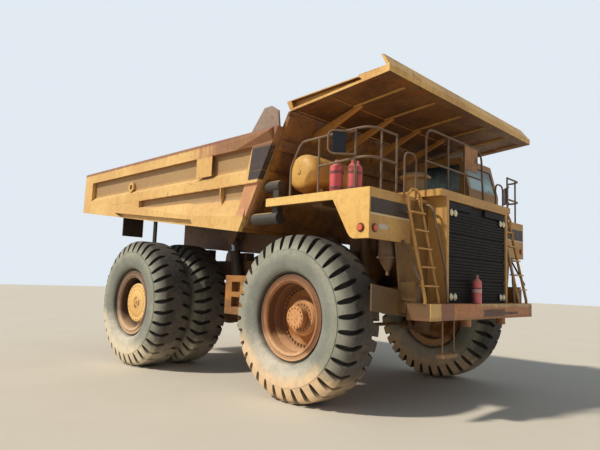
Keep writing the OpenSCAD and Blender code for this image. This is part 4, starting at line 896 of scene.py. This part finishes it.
def rim_mat(name, centre, front):
    """Rusty rim: brown flange, painted shade in the well and in corners, and dust brightened as a painted
    sunlit patch lying low in it. Front rims are redder, with orange hubs.
    """
    k = Mat(name)
    r, local = k.radius(centre)
    _, y, z = k.xyz(local)
    fine = k.noise(14, 6, 0.7)
    mid = k.noise(3, 5, 0.65)
    out = k.size(k.xyz()[0])
    middle = abs(centre[0])
    if front:
        base = k.mix(k.span(mid, 0.3, 0.7), rgb(138, 92, 56), rgb(176, 122, 80))
        brown = k.mix(fine, rgb(100, 66, 44), rgb(140, 94, 62))
        deep = k.mix(fine, rgb(84, 52, 34), rgb(124, 80, 50))
        centre_disc = k.mix(mid, rgb(150, 92, 48), rgb(206, 134, 66))
        dust = rgb(232, 182, 134)
        hub = k.mix(fine, rgb(216, 146, 84), rgb(240, 184, 128))
    else:
        base = k.mix(k.span(mid, 0.3, 0.7), rgb(132, 108, 88), rgb(158, 130, 108))
        brown = k.mix(fine, rgb(92, 74, 60), rgb(122, 98, 80))
        deep = k.mix(fine, rgb(52, 36, 30), rgb(84, 58, 46))
        centre_disc = deep
        dust = rgb(228, 192, 152)
        hub = k.mix(fine, rgb(238, 190, 104), rgb(248, 208, 128))
    flange = k.mul(k.span(r, 0.690, 0.697), k.span(r, 0.762, 0.754))
    col = k.lay(base, flange, 0.85, brown)
    # painted shade on the well's inner wall, and on rear rims on the disc too
    wall = k.mul(k.span(r, 0.626, 0.622), k.span(out, middle + 0.31, middle + 0.27))
    col = k.lay(col, wall, 0.9, deep)
    disc = k.mul(k.span(r, 0.575, 0.56), k.span(out, middle + 0.30, middle + 0.25))
    col = k.lay(col, disc, 0.9, centre_disc)
    # dust low in the well, brightened as a painted sunlit patch
    depth = k.add(z, k.mul(y, -0.25), k.span(mid, 0.3, 0.7, -0.06, 0.06))
    low = k.mul(k.span(depth, -0.36, -0.56), k.span(fine, 0.3, 0.6, 0.7, 1))
    col = k.lay(col, low, 0.9, dust)
    col = k.lay(col, k.span(r, 0.345, 0.335), 0.9, hub)
    col = k.lay(col, k.span(fine, 0.5, 0.72), 0.5, RUST_DARK)
    # painted shade in corners
    col = k.lay(col, k.corners(0.2), 0.75, rgb(60, 38, 28))
    col = k.lay(col, k.edges(0.012), 0.4, rgb(236, 178, 124))
    return k.finish(col, 0.72, fine, 0.3, 0.005)


def cover_mat(name, centre):
    """Round cover of the rear hub: old yellow, with a ring of dark curved slots round the centre bolt."""
    k = Mat(name)
    r, local = k.radius(centre)
    _, y, z = k.xyz(local)
    fine = k.noise(12, 6, 0.7)
    col = k.mix(k.span(k.noise(2.5, 4), 0.3, 0.7), rgb(250, 206, 134), rgb(244, 192, 112))
    col = k.lay(col, k.span(fine, 0.5, 0.7), 0.4, rgb(190, 134, 72))
    col = k.lay(col, k.between(r, 0.30, 0.335, 0.015), 0.45, rgb(160, 100, 46))
    turn = k.math("ARCTAN2", y, z)
    arcs = k.span(k.math("SINE", k.mul(turn, 3.0)), -0.35, -0.15)
    slots = k.mul(arcs, k.between(r, 0.090, 0.142, 0.006))
    bolt = k.mul(k.span(r, 0.036, 0.032), 0.8)
    col = k.lay(col, k.top(slots, bolt), 0.9, rgb(96, 58, 34))
    stain = k.mul(k.span(r, 0.24, 0.10), k.span(k.noise(7, 5, 0.7), 0.4, 0.6))
    col = k.lay(col, stain, 0.5, rgb(180, 122, 66))
    # painted shade in corners
    col = k.lay(col, k.corners(0.08), 0.8, rgb(74, 46, 28))
    col = k.lay(col, k.edges(0.01), 0.4, rgb(160, 104, 52))
    return k.finish(col, 0.62, fine, 0.25, 0.004)


def wheels():
    """Rings, hubs and bolts that stand on the rims."""
    for side, sx in (("right", -1), ("left", 1)):
        c = (sx * FRONT_X, AXLE_Y, TYRE_R)
        body = "front_wheel_" + side
        mat = rim_mat("rim_front_" + side, c, True)
        dress("rim_front_" + side, mat)
        rings = join_mesh([lathe(p, c, sx) for p in (LIP, STEP_RING, HUB_CONE, HUB_FACE)])
        soften(add_piece("rim_rings_front_" + side, rings, mat, body), 40)
        rows = ((-0.060, 0.525, 40, 0.017, 0.045), (0.223, 0.172, 14, 0.014, 0.022),
                (0.2160, 0.078, 6, 0.010, 0.012), (0.060, 0.245, 20, 0.013, 0.022))
        add_piece("wheel_bolts_front_" + side, join_mesh([bolts(c, sx, *row) for row in rows]), mat, body)
        c = (sx * REAR_XS[1], AXLE_Y + WHEELBASE, TYRE_R)
        body = "rear_wheels_" + side
        mat = rim_mat("rim_rear_" + side, c, False)
        dress("rim_rear_" + side, mat)
        soften(add_piece("rim_rings_rear_" + side, lathe(LIP, c, sx), mat, body), 40)
        cover = join_mesh([lathe(COVER, c, sx), bolts(c, sx, 0.2145, 0.412, 24, 0.013, 0.014)])
        soften(add_piece("hub_cover_" + side, cover, cover_mat("hub_cover_" + side, c), body), 40)


# Camera, floor and light

def camera():
    """The photograph's camera."""
    forward = Vector((math.sin(YAW) * math.cos(PITCH), math.cos(YAW) * math.cos(PITCH), math.sin(PITCH)))
    level = Vector((math.cos(YAW), -math.sin(YAW), 0))
    upright = level.cross(forward)
    right = level * math.cos(ROLL) + upright * math.sin(ROLL)
    up = -level * math.sin(ROLL) + upright * math.cos(ROLL)
    cam = bpy.data.cameras.new("camera")
    cam.sensor_width = SENSOR_MM
    cam.lens = FOCAL_PX / PHOTO_W * SENSOR_MM
    o = bpy.data.objects.new("camera", cam)
    m = Matrix((right, up, -forward)).transposed().to_4x4()
    m.translation = CAM_AT
    o.matrix_world = m
    bpy.context.collection.objects.link(o)
    bpy.context.scene.camera = o


def floor():
    """Plain pale floor, just below the tyres."""
    k = Mat("floor")
    mat = k.finish(k.mix(k.noise(0.5, 4), rgb(222, 212, 194), rgb(212, 200, 180)), 0.9)
    me = bpy.data.meshes.new("floor")
    corners = [(-1, -1), (1, -1), (1, 1), (-1, 1)]
    me.from_pydata([(x * FLOOR_HALF, y * FLOOR_HALF, FLOOR_Z) for x, y in corners], [], [(0, 1, 2, 3)])
    o = bpy.data.objects.new("floor", me)
    bpy.context.collection.objects.link(o)
    me.materials.append(mat)


def world():
    """Soft light from a pale sky, which is paler where the camera, a reflection or a pane sees it."""
    w = bpy.data.worlds.new("sky")
    bpy.context.scene.world = w
    w.use_nodes = True
    t = w.node_tree
    light = t.nodes["Background"]
    seen = t.nodes.new("ShaderNodeBackground")
    for background, colour, strength in ((light, rgb(205, 222, 240), 0.38), (seen, rgb(226, 234, 242), 1.0)):
        background.inputs[0].default_value = colour
        background.inputs[1].default_value = strength
    rays = t.nodes.new("ShaderNodeLightPath").outputs
    share = rays["Is Camera Ray"]
    for kind in ("Is Glossy Ray", "Is Transmission Ray"):
        either = t.nodes.new("ShaderNodeMath")
        either.operation = "MAXIMUM"
        t.links.new(share, either.inputs[0])
        t.links.new(rays[kind], either.inputs[1])
        share = either.outputs[0]
    mix = t.nodes.new("ShaderNodeMixShader")
    t.links.new(share, mix.inputs[0])
    t.links.new(light.outputs[0], mix.inputs[1])
    t.links.new(seen.outputs[0], mix.inputs[2])
    t.links.new(mix.outputs[0], t.nodes["World Output"].inputs[0])


def key_light():
    """Warm sun, softened a little."""
    sun = bpy.data.lights.new("key", "SUN")
    sun.energy = 3.1
    sun.angle = 0.07
    sun.color = (1.0, 0.95, 0.86)
    o = bpy.data.objects.new("key", sun)
    bpy.context.collection.objects.link(o)
    o.rotation_euler = SUN.to_track_quat("Z", "Y").to_euler()


for key, names in USE.items():
    for name in names:
        dress(name, M[key])
tyres()
handrails()
mirrors()
air_tank()
wheels()
camera()
floor()
world()
key_light()

bpy.context.scene.view_settings.view_transform = "Standard"
